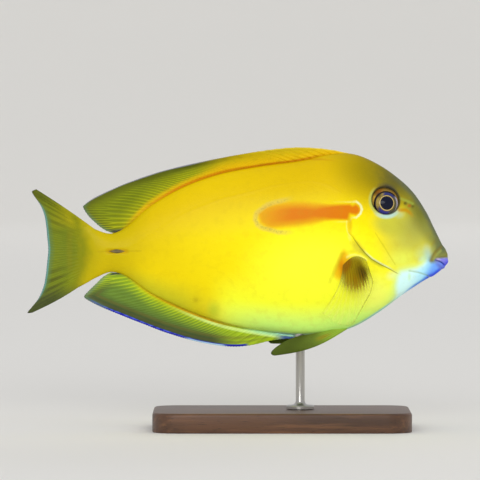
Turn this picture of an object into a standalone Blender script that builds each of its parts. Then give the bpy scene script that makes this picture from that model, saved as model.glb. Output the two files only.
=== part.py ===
"""A life-size orangeshoulder tang (a surgeonfish) on a plain display stand.

Sizes are in millimetres and become metres as each mesh is written. +X runs
towards the snout, +Z is up, and the fish's left side is +Y. Fish shapes are
drawn about the body axis, a level line through the tail stalk and the mouth,
and lifted by AXIS_HEIGHT. The origin is on the floor, under the middle of the
fish's total length.
"""
import math

import bmesh
import bpy
import numpy as np
from mathutils import Matrix, Vector

MM = 0.001

# Driving dimensions
TOTAL_LENGTH = 150.0
AXIS_HEIGHT = 64.0
GAP = 0.3
SOCKET_GAP = 0.35

# Body stations from the snout to the tail fin: distance along the body, top, bottom,
# greatest half width, and the height at which the section is widest.
STATIONS = np.array([
    (75.0, -2.2, -3.9, 0.7, -3.0),
    (74.6, -0.6, -5.2, 1.8, -3.0),
    (73.6, 1.5, -6.2, 2.7, -2.8),
    (72.2, 4.2, -7.5, 3.4, -2.4),
    (70.0, 8.6, -9.1, 4.4, -1.8),
    (67.5, 13.7, -10.4, 5.3, -1.0),
    (63.2, 20.2, -13.2, 6.6, 0.2),
    (58.0, 25.3, -16.8, 7.9, 1.2),
    (50.4, 30.6, -22.4, 9.3, 2.0),
    (41.8, 34.2, -27.4, 10.2, 2.2),
    (33.0, 34.2, -29.8, 10.5, 2.0),
    (22.0, 31.9, -30.4, 10.3, 1.4),
    (8.0, 30.0, -28.8, 9.5, 0.6),
    (-6.0, 27.3, -25.9, 8.2, 0.0),
    (-19.0, 22.7, -21.2, 6.5, -0.3),
    (-31.0, 15.8, -15.4, 4.6, -0.4),
    (-39.5, 8.9, -9.8, 3.3, -0.6),
    (-45.0, 6.5, -8.0, 2.6, -0.8),
    (-50.5, 7.9, -9.6, 1.8, -0.8),
])
RINGS_PER_STATION = 2
RING_POINTS = 44
BACK_PINCH = 1.1
BELLY_FULLNESS = 0.9
BLOCK_REACH = 60.0
BLOCK_HALF_DEPTH = 30.0

# The gill opening, from the nape down the shoulder and forward under the throat.
GILL_LINE = np.array([
    (39.3, 45.0), (39.3, 7.6), (40.9, 5.2), (43.1, 2.1), (45.6, -1.2),
    (47.8, -3.4), (50.7, -5.2), (56.9, -8.3), (59.6, -11.0), (60.6, -25.0),
])
GILL_CUT_HALF = 0.25
GILL_COVER_RISE = 0.45
GILL_COVER_WIDTH = 9.0
GILL_COVER_TOP = 12.0
GILL_COVER_FADE = 6.0
STALK_START = -39.0

# Head
EYE_CENTRE = (52.9, 17.9)
EYE_RADIUS = 5.0
EYE_DEPTH = 2.9
EYE_SINK = 1.5
EYE_FACING = Vector((0.22, 1.0, 0.33)).normalized()
EYE_SEGMENTS = (20, 8)
RIM_RADIUS = 5.35
RIM_THICKNESS = 0.55
RIM_SINK = 0.15
RIM_SEGMENTS = (24, 5)
MOUTH_FRONT = (76.5, -5.3)
MOUTH_CORNER = (70.3, -3.5)
MOUTH_HALF_OPENING = 0.25
MOUTH_HALF_WIDTH = 8.0
LIP_THICKNESS = 0.75
LIP_END_SHARE = 0.45
LIP_STEPS = 12
# Each lip: its front, its height there, its half width and how far it sags.
UPPER_LIP = (74.3, -3.2, 3.9, 0.0)
LOWER_LIP = (73.3, -5.4, 3.8, 0.9)
# Each nostril: its place, its height and its radius.
NOSTRILS = ((59.8, 16.7, 0.5), (61.7, 15.6, 0.65))
NOSTRIL_DEPTH = 0.9
NOSTRIL_FACING = (0.5, 0.3)
NOSTRIL_SEGMENTS = (8, 5)

# Fins: half thickness of the membrane, and how far a ray stands out of it on each side.
MEMBRANE_HALF = 0.26
RAY_RISE = 0.27
SPINE_RISE = 0.4
RAY_FADE = 0.55
ROOT_HALF = 0.85
ROOT_SINK = 1.3
ROOT_FADE = 0.35
ROW_CROWDING = 1.25
MEDIAN_ROWS = 7
TAIL_ROWS = 9
PAIRED_ROWS = 8

# Each row: where a ray leaves the back, and the distance and height of its tip.
DORSAL_SPINES = 9
DORSAL_RAYS = 24
DORSAL_TIPS = np.array([
    (38.7, 36.6, 35.4), (29.6, 23.6, 36.8), (22.5, 15.4, 36.4), (11.8, 3.6, 34.7),
    (1.1, -7.9, 32.5), (-9.6, -18.9, 30.2), (-18.2, -27.9, 27.9), (-22.1, -35.7, 25.3),
    (-27.5, -45.4, 21.5), (-31.8, -51.8, 18.3), (-33.6, -54.4, 15.6),
    (-36.1, -51.8, 11.9), (-38.2, -48.6, 9.0), (-39.4, -45.0, 7.4),
])
ANAL_SPINES = 3
ANAL_RAYS = 23
ANAL_TIPS = np.array([
    (16.6, 12.2, -32.3), (13.6, 5.4, -34.1), (8.9, -0.4, -34.7), (1.1, -8.9, -33.8),
    (-7.9, -18.2, -32.0), (-15.0, -26.4, -29.2), (-21.1, -34.6, -26.1),
    (-25.7, -41.8, -23.2), (-30.4, -48.2, -20.6), (-33.9, -52.5, -18.6),
    (-35.7, -54.4, -16.8), (-37.5, -51.8, -13.3), (-38.8, -48.9, -10.5),
    (-39.5, -46.4, -8.9),
])

# Tail fin: the height of each ray's root, and the distance and height of its tip.
TAIL_ROOT = -50.8
TAIL_RAYS_PER_LOBE = 8
TAIL_UPPER_TIPS = np.array([
    (0.0, -67.1, 0.0), (1.5, -67.6, 4.6), (3.0, -68.0, 8.6), (4.6, -68.8, 12.6),
    (6.0, -70.2, 16.2), (7.0, -72.6, 19.6), (7.5, -73.5, 21.2), (7.9, -71.6, 21.5),
])
TAIL_LOWER_TIPS = np.array([
    (0.0, -67.1, 0.0), (-1.9, -67.5, -4.4), (-3.8, -68.0, -8.4), (-5.8, -68.9, -12.6),
    (-7.4, -70.4, -16.6), (-8.6, -73.0, -20.2), (-9.3, -75.0, -22.3), (-9.8, -73.6, -22.4),
])
TAIL_ROOT_HALF = 1.5
TAIL_ROOT_FADE = 0.4

# Pectoral fin: each row is a ray's tip, as distance, height and reach out from the flank.
PECTORAL_RAYS = 15
PECTORAL_FRONT_ROOT = (46.1, -3.6)
PECTORAL_BACK_ROOT = (37.9, -4.6)
PECTORAL_ROOT_ARCH = 2.3
PECTORAL_TIPS = np.array([
    (48.2, -10.6, 13.0), (47.2, -14.6, 15.5), (45.6, -17.4, 16.5), (43.2, -21.8, 16.5),
    (40.6, -25.7, 14.5), (36.0, -26.0, 11.0), (32.5, -23.9, 7.5), (29.9, -21.9, 4.5),
])
PECTORAL_ROOT_SINK = 1.0
PECTORAL_ROOT_HALF = 0.76
PECTORAL_BOW_OUT = 1.6
PECTORAL_BOW_BACK = 1.7

# Pelvic fins: drawn along the fin from its root, and across it towards the belly.
PELVIC_RAYS = 6
PELVIC_ROOT = (39.6, -28.0)
PELVIC_ROOT_OUT = 2.0
PELVIC_TIPS = np.array([
    (28.6, -0.3), (28.9, 0.3), (27.1, 1.4), (24.8, 2.3), (21.9, 2.9), (18.6, 3.1),
])
PELVIC_BACK_ROOT = (6.0, 1.4)
PELVIC_LEADING_BULGE = 2.0
PELVIC_SPLAY = math.radians(14.0)
PELVIC_DROOP_RIGHT = math.radians(17.8)
PELVIC_DROOP_LEFT = math.radians(10.3)
PELVIC_LEAN = 0.35
PELVIC_ROOT_HALF = 0.81
PELVIC_ROOT_FADE = 0.5

# The scalpel: the folded spine on each side of the tail stalk.
SCALPEL_CENTRE = (-42.6, -0.4)
# Half its length, height and depth.
SCALPEL_HALF = (3.1, 0.75, 0.62)
SCALPEL_PROUD = 0.3
SCALPEL_SEGMENTS = (14, 6)

# Stand
BASE_LENGTH = 92.0
BASE_DEPTH = 56.0
BASE_THICKNESS = 7.0
BASE_CORNER = 9.0
BASE_CORNER_STEPS = 5
BASE_EDGE = 1.0
BASE_CENTRE = 16.0
ROD_PLACE = 22.6
ROD_RADIUS = 1.6
ROD_FOOT_RADIUS = 5.0
ROD_FOOT_HEIGHT = 1.4
ROD_HEAD_RADIUS = 2.3
ROD_FOOT_EDGE = 0.4
ROD_FILLET = 0.7
ROD_HEAD_HEIGHT = 4.0
ROD_HEAD_TAPER = 2.0
ROD_SINK = 2.5
ROD_SEGMENTS = 20

# Edges that turn by more than this stay sharp.
BODY_SHARP = math.radians(40.0)
FIN_SHARP = math.radians(12.0)
STAND_SHARP = math.radians(30.0)


# Curves and lookups

def spline(rows, steps):
    """Points on the smooth curve through rows, with steps points for each gap."""
    rows = np.asarray(rows, float)
    padded = np.vstack([2 * rows[0] - rows[1], rows, 2 * rows[-1] - rows[-2]])
    made = []
    for i in range(1, len(padded) - 2):
        before, start, end, after = padded[i - 1:i + 3]
        for t in np.arange(steps) / steps:
            made.append(0.5 * (2 * start + (end - before) * t
                               + (2 * before - 5 * start + 4 * end - after) * t ** 2
                               + (3 * start - before - 3 * end + after) * t ** 3))
    made.append(padded[-2])
    return np.array(made)


FINE_STATIONS = spline(STATIONS, 12)[::-1]


def station_at(x):
    """Top, bottom, half width and widest height of the body at a distance along it."""
    along = FINE_STATIONS[:, 0]
    return [float(np.interp(x, along, FINE_STATIONS[:, k])) for k in range(1, 5)]


def flank(x, z):
    """Half width of the body at a distance along it and a height."""
    top, bottom, half_width, widest = station_at(x)
    if z >= widest:
        share, power = (z - widest) / (top - widest), BACK_PINCH
    else:
        share, power = (widest - z) / (widest - bottom), BELLY_FULLNESS
    return half_width * max(0.0, 1.0 - min(share, 1.0) ** 2) ** (power / 2)


def gill_line_at(z):
    """Distance along the body of the gill opening at a height."""
    return float(np.interp(z, GILL_LINE[::-1, 1], GILL_LINE[::-1, 0]))


def smooth_share(value):
    """0 to 1, easing in and out."""
    value = min(max(value, 0.0), 1.0)
    return value * value * (3 - 2 * value)


# Meshes

def make_object(name, points, faces):
    """A mesh object from points in millimetres about the body axis."""
    mesh = bpy.data.meshes.new(name)
    mesh.from_pydata([Vector(p) * MM for p in points], [], faces)
    mesh.validate()
    obj = bpy.data.objects.new(name, mesh)
    bpy.context.scene.collection.objects.link(obj)
    return obj


def outward(obj):
    """Turns every face of a closed mesh outwards."""
    bm = bmesh.new()
    bm.from_mesh(obj.data)
    bmesh.ops.remove_doubles(bm, verts=bm.verts, dist=1e-7)
    bmesh.ops.recalc_face_normals(bm, faces=bm.faces)
    bm.to_mesh(obj.data)
    bm.free()
    return obj


def boolean(target, other, operation, solver="EXACT"):
    """Joins, cuts or intersects target with another object, which is then removed."""
    modifier = target.modifiers.new(operation.lower(), "BOOLEAN")
    modifier.operation = operation
    modifier.solver = solver
    modifier.object = other
    bpy.context.view_layer.objects.active = target
    bpy.ops.object.modifier_apply(modifier=modifier.name)
    remove(other)
    return target


def remove(obj):
    """Deletes an object and its mesh."""
    mesh = obj.data
    bpy.data.objects.remove(obj)
    bpy.data.meshes.remove(mesh)


def keep_largest(obj):
    """Keeps only the largest closed surface of a mesh."""
    bm = bmesh.new()
    bm.from_mesh(obj.data)
    bm.verts.ensure_lookup_table()
    unseen = set(bm.verts)
    pieces = []
    while unseen:
        found = {unseen.pop()}
        edge = list(found)
        while edge:
            near = {e.other_vert(v) for v in edge for e in v.link_edges} - found
            found |= near
            edge = list(near)
        unseen -= found
        pieces.append(found)
    size = {id(p): sum(f.calc_area() for f in {f for v in p for f in v.link_faces}) for p in pieces}
    largest = max(pieces, key=lambda p: size[id(p)])
    extra = [v for p in pieces if p is not largest for v in p]
    bmesh.ops.delete(bm, geom=extra, context="VERTS")
    bm.to_mesh(obj.data)
    bm.free()
    return obj


def prism(name, outline, half_depth=BLOCK_HALF_DEPTH):
    """A block drawn in side view and reaching half_depth to each side."""
    count = len(outline)
    points = [(x, y, z) for y in (-half_depth, half_depth) for x, z in outline]
    sides = [(i, (i + 1) % count, (i + 1) % count + count, i + count) for i in range(count)]
    caps = [tuple(range(count))[::-1], tuple(range(count, 2 * count))]
    return outward(make_object(name, points, sides + caps))


def ellipsoid(name, centre, radii, facing, segments):
    """A ball stretched to three radii, whose second axis points along facing."""
    bm = bmesh.new()
    bmesh.ops.create_uvsphere(bm, u_segments=segments[0], v_segments=segments[1], radius=1.0)
    bm.transform(Matrix.Rotation(math.pi / 2, 4, "X"))
    bm.transform(Matrix.Diagonal((*radii, 1.0)))
    bm.transform(facing_matrix(facing))
    bm.transform(Matrix.Translation(centre))
    bm.transform(Matrix.Scale(MM, 4))
    mesh = bpy.data.meshes.new(name)
    bm.to_mesh(mesh)
    bm.free()
    obj = bpy.data.objects.new(name, mesh)
    bpy.context.scene.collection.objects.link(obj)
    return outward(obj)


def facing_matrix(facing):
    """Turns +Y to facing and keeps +Z as upright as it can."""
    ahead = Vector(facing).normalized()
    side = ahead.cross(Vector((0, 0, 1))).normalized()
    up = side.cross(ahead)
    return Matrix((side, ahead, up)).transposed().to_4x4()


def tube(name, centres, radius, sides=8):
    """A closed round tube along a line of centres, with rounded ends."""
    points, faces = [], []
    last = len(centres) - 1
    for i, centre in enumerate(centres):
        along = (centres[min(i + 1, last)] - centres[max(i - 1, 0)]).normalized()
        across = along.cross(Vector((0, 0, 1))).normalized()
        up = across.cross(along)
        size = radius * (LIP_END_SHARE if i in (0, last) else 1.0)
        for k in range(sides):
            turn = 2 * math.pi * k / sides
            points.append(centre + size * (math.cos(turn) * across + math.sin(turn) * up))
    for i in range(last):
        for k in range(sides):
            n = (k + 1) % sides
            faces.append((i * sides + k, i * sides + n, (i + 1) * sides + n, (i + 1) * sides + k))
    faces.append(tuple(range(sides))[::-1])
    faces.append(tuple(range(last * sides, (last + 1) * sides)))
    return outward(make_object(name, points, faces))


def finish(obj, material, sharp=BODY_SHARP):
    """Lifts a fish piece to its height, shades it and gives it its material."""
    obj.data.transform(Matrix.Translation((0, 0, AXIS_HEIGHT * MM)))
    return dress(obj, material, sharp)


def dress(obj, material, sharp):
    """Shades a piece smooth with sharp edges kept, and sets its material."""
    obj.data.shade_smooth()
    obj.data.set_sharp_from_angle(angle=sharp)
    obj.data.materials.clear()
    obj.data.materials.append(material)
    return obj


def make_material(name, colour, roughness, metallic=0.0):
    """A plain Principled material."""
    material = bpy.data.materials.new(name)
    material.use_nodes = True
    shader = material.node_tree.nodes["Principled BSDF"]
    shader.inputs["Base Color"].default_value = (*colour, 1.0)
    shader.inputs["Roughness"].default_value = roughness
    shader.inputs["Metallic"].default_value = metallic
    return material


# Body

def body_loft(name, grow=0.0, gill_cover=False):
    """The whole body as one closed surface, made larger all round by grow."""
    rings = spline(STATIONS, RINGS_PER_STATION)
    points, faces = [], []
    for index, (x, top, bottom, half_width, widest) in enumerate(rings):
        top, bottom, half_width = top + grow, bottom - grow, half_width + grow
        if index == 0:
            x += grow
        elif index == len(rings) - 1:
            x -= grow
        for k in range(RING_POINTS):
            turn = 2 * math.pi * k / RING_POINTS
            upper = math.cos(turn) >= 0
            reach = top - widest if upper else widest - bottom
            power = BACK_PINCH if upper else BELLY_FULLNESS
            z = widest + reach * math.cos(turn)
            y = half_width * math.copysign(abs(math.sin(turn)) ** power, math.sin(turn))
            if gill_cover:
                y *= 1 + cover_rise(x, z) / max(half_width, 1.0)
            points.append((x, y, z))
    for i in range(len(rings) - 1):
        for k in range(RING_POINTS):
            n = (k + 1) % RING_POINTS
            a, b = i * RING_POINTS, (i + 1) * RING_POINTS
            faces.append((a + k, a + n, b + n, b + k))
    faces.append(tuple(range(RING_POINTS)))
    last = (len(rings) - 1) * RING_POINTS
    faces.append(tuple(range(last, last + RING_POINTS))[::-1])
    return outward(make_object(name, points, faces))


def cover_rise(x, z):
    """How far the gill cover stands out, most along the gill opening."""
    ahead = x - gill_line_at(z)
    if ahead < -1.0 or z > GILL_COVER_TOP:
        return 0.0
    fade_up = smooth_share((GILL_COVER_TOP - z) / GILL_COVER_FADE)
    return GILL_COVER_RISE * fade_up * (1 - smooth_share(ahead / GILL_COVER_WIDTH))


def gill_cut(shift):
    """The gill line moved along the body."""
    return [(x + shift, z) for x, z in GILL_LINE]


def make_head(material):
    """Head with lips, mouth, nostrils, eye rims and sockets, cut off at the gill opening.

    The exact solver leaves open edges where the nostrils meet the eye rims' fine faces.
    """
    head = body_loft("head", gill_cover=True)
    solver = "MANIFOLD"
    cut = gill_cut(GILL_CUT_HALF)
    region = prism("head_region", [(TOTAL_LENGTH, -BLOCK_REACH), (TOTAL_LENGTH, BLOCK_REACH)] + cut
                   + [(cut[-1][0], -BLOCK_REACH)])
    boolean(head, region, "INTERSECT", solver)
    boolean(head, lip("upper_lip", *UPPER_LIP), "UNION", solver)
    boolean(head, lip("lower_lip", *LOWER_LIP), "UNION", solver)
    boolean(head, mouth_slot(), "DIFFERENCE", solver)
    for side in (-1, 1):
        boolean(head, eye_rim(side), "UNION", solver)
        boolean(head, eye_ball("socket", side, SOCKET_GAP), "DIFFERENCE", solver)
        for x, z, radius in NOSTRILS:
            boolean(head, nostril(x, z, radius, side), "DIFFERENCE", solver)
    return finish(keep_largest(head), material)


def lip(name, front, height, reach, droop):
    """A roll from one mouth corner round the front to the other."""
    corner_x, corner_z = MOUTH_CORNER
    centres = []
    for i in range(LIP_STEPS + 1):
        turn = math.pi * (i / LIP_STEPS - 0.5)
        x = corner_x + (front - corner_x) * math.cos(turn)
        z = corner_z + (height - corner_z) * math.cos(turn) - droop * math.cos(turn) ** 2
        centres.append(Vector((x, reach * math.sin(turn), z)))
    return tube(name, centres, LIP_THICKNESS)


def mouth_slot():
    """A thin wedge that parts the lips as far as the mouth corner."""
    front_x, front_z = MOUTH_FRONT
    back_x, back_z = MOUTH_CORNER
    outline = [(back_x, back_z), (front_x, front_z - MOUTH_HALF_OPENING),
               (front_x, front_z + MOUTH_HALF_OPENING)]
    return prism("mouth_slot", outline, MOUTH_HALF_WIDTH)


def eye_place(side):
    """Centre of the eye ball and the way it faces, on one side."""
    x, z = EYE_CENTRE
    facing = Vector((EYE_FACING.x, side * EYE_FACING.y, EYE_FACING.z))
    skin = Vector((x, side * flank(x, z), z))
    return skin - facing * EYE_SINK, facing


def eye_ball(name, side, grow=0.0):
    """The flattened ball of one eye."""
    centre, facing = eye_place(side)
    radii = (EYE_RADIUS + grow, EYE_DEPTH + grow, EYE_RADIUS + grow)
    return ellipsoid(name, centre, radii, facing, EYE_SEGMENTS)


def eye_rim(side):
    """The raised rim of skin round one eye."""
    centre, facing = eye_place(side)
    centre = centre + facing * (EYE_SINK - RIM_SINK)
    turn_to = facing_matrix(facing).to_3x3()
    points, faces = [], []
    around, sides = RIM_SEGMENTS
    for i in range(around):
        turn = 2 * math.pi * i / around
        spoke = turn_to @ Vector((math.cos(turn), 0, math.sin(turn)))
        for k in range(sides):
            roll = 2 * math.pi * k / sides
            points.append(centre + spoke * (RIM_RADIUS + RIM_THICKNESS * math.cos(roll))
                          + facing * RIM_THICKNESS * math.sin(roll))
    for i in range(around):
        for k in range(sides):
            n, j = (k + 1) % sides, (i + 1) % around
            faces.append((i * sides + k, i * sides + n, j * sides + n, j * sides + k))
    return outward(make_object("eye_rim", points, faces))


def nostril(x, z, radius, side):
    """A small pit ahead of the eye."""
    centre = Vector((x, side * flank(x, z), z))
    facing = (NOSTRIL_FACING[0], side, NOSTRIL_FACING[1])
    return ellipsoid("nostril", centre, (radius, NOSTRIL_DEPTH, radius), facing, NOSTRIL_SEGMENTS)


def make_torso(material):
    """The body from the gill opening to the tail stalk."""
    torso = body_loft("torso")
    cut = gill_cut(-GILL_CUT_HALF)
    back = STALK_START + GAP / 2
    region = prism("torso_region", cut + [(cut[-1][0], -BLOCK_REACH), (back, -BLOCK_REACH),
                                          (back, BLOCK_REACH), (cut[0][0], BLOCK_REACH)])
    boolean(torso, region, "INTERSECT")
    return finish(keep_largest(torso), material)


def make_stalk(material):
    """The tail stalk, with a groove on each side for its folded spine."""
    stalk = body_loft("tail_stalk")
    front = STALK_START - GAP / 2
    region = prism("stalk_region", [(front, -BLOCK_REACH), (front, BLOCK_REACH),
                                    (-TOTAL_LENGTH, BLOCK_REACH), (-TOTAL_LENGTH, -BLOCK_REACH)])
    boolean(stalk, region, "INTERSECT")
    for side in (-1, 1):
        boolean(stalk, scalpel_shape("groove", side, GAP), "DIFFERENCE")
    return finish(keep_largest(stalk), material)


def scalpel_shape(name, side, grow=0.0):
    """The blade of one folded spine, pointed at both ends."""
    x, z = SCALPEL_CENTRE
    length, height, depth = SCALPEL_HALF
    centre = (x, side * (flank(x, z) + SCALPEL_PROUD - depth), z)
    radii = (length + grow, depth + grow, height + grow)
    return ellipsoid(name, centre, radii, (0, side, 0), SCALPEL_SEGMENTS)


# Fins

def two_sided_sheet(name, middle, normals, half):
    """A closed fin from its middle surface. Both faces are split into the same triangles."""
    across, along = half.shape
    points = []
    for sign in (1, -1):
        for i in range(across):
            for j in range(along):
                points.append(Vector(middle[i][j]) + Vector(normals[i][j]) * float(sign * half[i, j]))
    count = across * along

    def at(i, j, sheet):
        return sheet * count + i * along + j

    faces = []
    for i in range(across - 1):
        for j in range(along - 1):
            for a, b, c in (((i, j), (i + 1, j), (i + 1, j + 1)), ((i, j), (i + 1, j + 1), (i, j + 1))):
                faces.append((at(*a, 0), at(*b, 0), at(*c, 0)))
                faces.append((at(*c, 1), at(*b, 1), at(*a, 1)))
    rim = [(i, 0) for i in range(across)] + [(across - 1, j) for j in range(1, along)]
    rim += [(i, along - 1) for i in range(across - 2, -1, -1)] + [(0, j) for j in range(along - 2, 0, -1)]
    for here, after in zip(rim, rim[1:] + rim[:1]):
        faces.append((at(*here, 0), at(*here, 1), at(*after, 1)))
        faces.append((at(*here, 0), at(*after, 1), at(*after, 0)))
    return outward(make_object(name, points, faces))


def ray_columns(count):
    """Positions 0 to 1 across a fin, with a crest for each ray and a valley between."""
    positions = np.linspace(0.0, 1.0, 2 * count + 1)
    crest = np.arange(2 * count + 1) % 2 == 1
    return positions, crest


def rows_along(count):
    """Positions 0 to 1 from root to tip, closer together at the root."""
    return np.linspace(0.0, 1.0, count) ** ROW_CROWDING


def half_thickness(share, crest, rise, root_half, root_fade):
    """Half thickness of a fin at a share of the way from root to tip, on a crest or between two."""
    swell = (root_half - MEMBRANE_HALF) * max(0.0, 1 - share / root_fade) ** 2
    return MEMBRANE_HALF + swell + (rise * (1 - RAY_FADE * share) if crest else 0.0)


def median_fin(name, tips, spines, rays, above, material):
    """A fin in the fish's middle plane, above or under the body, from its ray table."""
    positions, crest = ray_columns(spines + rays)
    along = rows_along(MEDIAN_ROWS)
    root_x = tips[0][0] + (tips[-1][0] - tips[0][0]) * positions
    fine = spline(tips, 8)[::-1]
    middle, half = [], np.zeros((len(positions), len(along)))
    for i, x in enumerate(root_x):
        tip = Vector((np.interp(x, fine[:, 0], fine[:, 1]), 0, np.interp(x, fine[:, 0], fine[:, 2])))
        top, bottom = station_at(x)[:2]
        root = Vector((x, 0, top - ROOT_SINK if above else bottom + ROOT_SINK))
        rise = SPINE_RISE if i < 2 * spines else RAY_RISE
        middle.append([root.lerp(tip, share) for share in along])
        half[i] = [half_thickness(share, crest[i], rise, ROOT_HALF, ROOT_FADE) for share in along]
    normals = [[(0, 1, 0)] * len(along)] * len(positions)
    return rooted_fin(two_sided_sheet(name, middle, normals, half), material)


def rooted_fin(fin, material):
    """Cuts a fin's sunken root off at the skin, with the gap that touching pieces keep."""
    boolean(fin, body_loft("clearance", grow=SOCKET_GAP), "DIFFERENCE")
    return finish(keep_largest(fin), material, FIN_SHARP)


def make_tail_lobe(name, tips, material):
    """One lobe of the tail fin, from the middle ray out to the lobe's tip."""
    positions, crest = ray_columns(TAIL_RAYS_PER_LOBE)
    along = rows_along(TAIL_ROWS)
    fine = spline(tips, 8)
    keys = np.linspace(0.0, 1.0, len(fine))
    shift = math.copysign(GAP / 2, tips[-1][0])
    middle, half = [], np.zeros((len(positions), len(along)))
    reach = abs(tips[-1][0]) + MEMBRANE_HALF
    for i, place in enumerate(positions):
        root_z, tip_x, tip_z = (np.interp(place, keys, fine[:, k]) for k in range(3))
        root = Vector((TAIL_ROOT, 0, root_z + shift))
        tip = Vector((tip_x, 0, tip_z + shift))
        edge_share = min(abs(root_z) / reach, 1.0)
        root_half = MEMBRANE_HALF + (TAIL_ROOT_HALF - MEMBRANE_HALF) * math.sqrt(1 - edge_share ** 4)
        middle.append([root.lerp(tip, share) for share in along])
        half[i] = [half_thickness(share, crest[i], RAY_RISE, root_half, TAIL_ROOT_FADE) for share in along]
    normals = [[(0, 1, 0)] * len(along)] * len(positions)
    return finish(two_sided_sheet(name, middle, normals, half), material, FIN_SHARP)


def surface_normals(middle):
    """Unit normals of a grid of points."""
    grid = np.array([[tuple(p) for p in row] for row in middle])
    normals = np.cross(np.gradient(grid, axis=0), np.gradient(grid, axis=1))
    return normals / np.linalg.norm(normals, axis=2, keepdims=True)


def make_pectoral(name, side, material):
    """A pectoral fin, fanned down and out from the flank behind the gill opening."""
    positions, crest = ray_columns(PECTORAL_RAYS)
    along = rows_along(PAIRED_ROWS)
    fine = spline(PECTORAL_TIPS, 6)
    keys = np.linspace(0.0, 1.0, len(fine))
    front = np.array(PECTORAL_FRONT_ROOT)
    back = np.array(PECTORAL_BACK_ROOT)
    middle, half = [], np.zeros((len(positions), len(along)))
    for i, place in enumerate(positions):
        x, z = front + (back - front) * place
        z += PECTORAL_ROOT_ARCH * math.sin(math.pi * place)
        surface = flank(x, z)
        tip_x, tip_z, tip_out = (np.interp(place, keys, fine[:, k]) for k in range(3))
        root = Vector((x, side * (surface - PECTORAL_ROOT_SINK), z))
        tip = Vector((tip_x, side * (surface + tip_out), tip_z))
        row = []
        for j, share in enumerate(along):
            point = root.lerp(tip, share)
            point.y += side * PECTORAL_BOW_OUT * math.sin(math.pi * share)
            point.x += PECTORAL_BOW_BACK * place * math.sin(math.pi * share)
            row.append(point)
            half[i, j] = half_thickness(share, crest[i], RAY_RISE, PECTORAL_ROOT_HALF, ROOT_FADE)
        middle.append(row)
    return rooted_fin(two_sided_sheet(name, middle, surface_normals(middle), half), material)


def make_pelvic(name, side, droop, material):
    """A pelvic fin, swept back under the belly."""
    positions, crest = ray_columns(PELVIC_RAYS)
    along = rows_along(PAIRED_ROWS)
    fine = spline(PELVIC_TIPS, 6)
    keys = np.linspace(0.0, 1.0, len(fine))
    middle, half = [], np.zeros((len(positions), len(along)))
    for i, place in enumerate(positions):
        tip = np.array([np.interp(place, keys, fine[:, k]) for k in range(2)])
        root = np.array(PELVIC_BACK_ROOT) * place
        row = []
        for j, share in enumerate(along):
            length, width = root + (tip - root) * share
            width -= PELVIC_LEADING_BULGE * (1 - place) * math.sin(math.pi * share)
            x = PELVIC_ROOT[0] - length * math.cos(droop) - width * math.sin(droop)
            z = PELVIC_ROOT[1] - length * math.sin(droop) + width * math.cos(droop)
            y = PELVIC_ROOT_OUT + length * math.sin(PELVIC_SPLAY) - width * PELVIC_LEAN
            row.append(Vector((x, side * y, z)))
            rise = SPINE_RISE if i < 2 else RAY_RISE
            half[i, j] = half_thickness(share, crest[i], rise, PELVIC_ROOT_HALF, PELVIC_ROOT_FADE)
        middle.append(row)
    return rooted_fin(two_sided_sheet(name, middle, surface_normals(middle), half), material)


# Stand

def make_base(material):
    """A flat block with rounded corners and eased edges."""
    points = []
    for corner_x, corner_y, start in ((1, 1, 0), (-1, 1, 90), (-1, -1, 180), (1, -1, 270)):
        centre_x = BASE_CENTRE + corner_x * (BASE_LENGTH / 2 - BASE_CORNER)
        centre_y = corner_y * (BASE_DEPTH / 2 - BASE_CORNER)
        for step in range(BASE_CORNER_STEPS + 1):
            turn = math.radians(start + 90 * step / BASE_CORNER_STEPS)
            points.append((centre_x + BASE_CORNER * math.cos(turn),
                           centre_y + BASE_CORNER * math.sin(turn), 0.0))
    bm = bmesh.new()
    face = bm.faces.new([bm.verts.new(Vector(p) * MM) for p in points])
    raised = bmesh.ops.extrude_face_region(bm, geom=[face])
    top = [v for v in raised["geom"] if isinstance(v, bmesh.types.BMVert)]
    bmesh.ops.translate(bm, verts=top, vec=(0, 0, BASE_THICKNESS * MM))
    bmesh.ops.recalc_face_normals(bm, faces=bm.faces)
    upper_edges = [e for e in bm.edges if all(v.co.z > BASE_THICKNESS * MM / 2 for v in e.verts)]
    bmesh.ops.bevel(bm, geom=upper_edges, offset=BASE_EDGE * MM, segments=2, affect="EDGES", profile=0.5)
    mesh = bpy.data.meshes.new("stand_base")
    bm.to_mesh(mesh)
    bm.free()
    obj = bpy.data.objects.new("stand_base", mesh)
    bpy.context.scene.collection.objects.link(obj)
    return dress(obj, material, STAND_SHARP)


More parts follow.
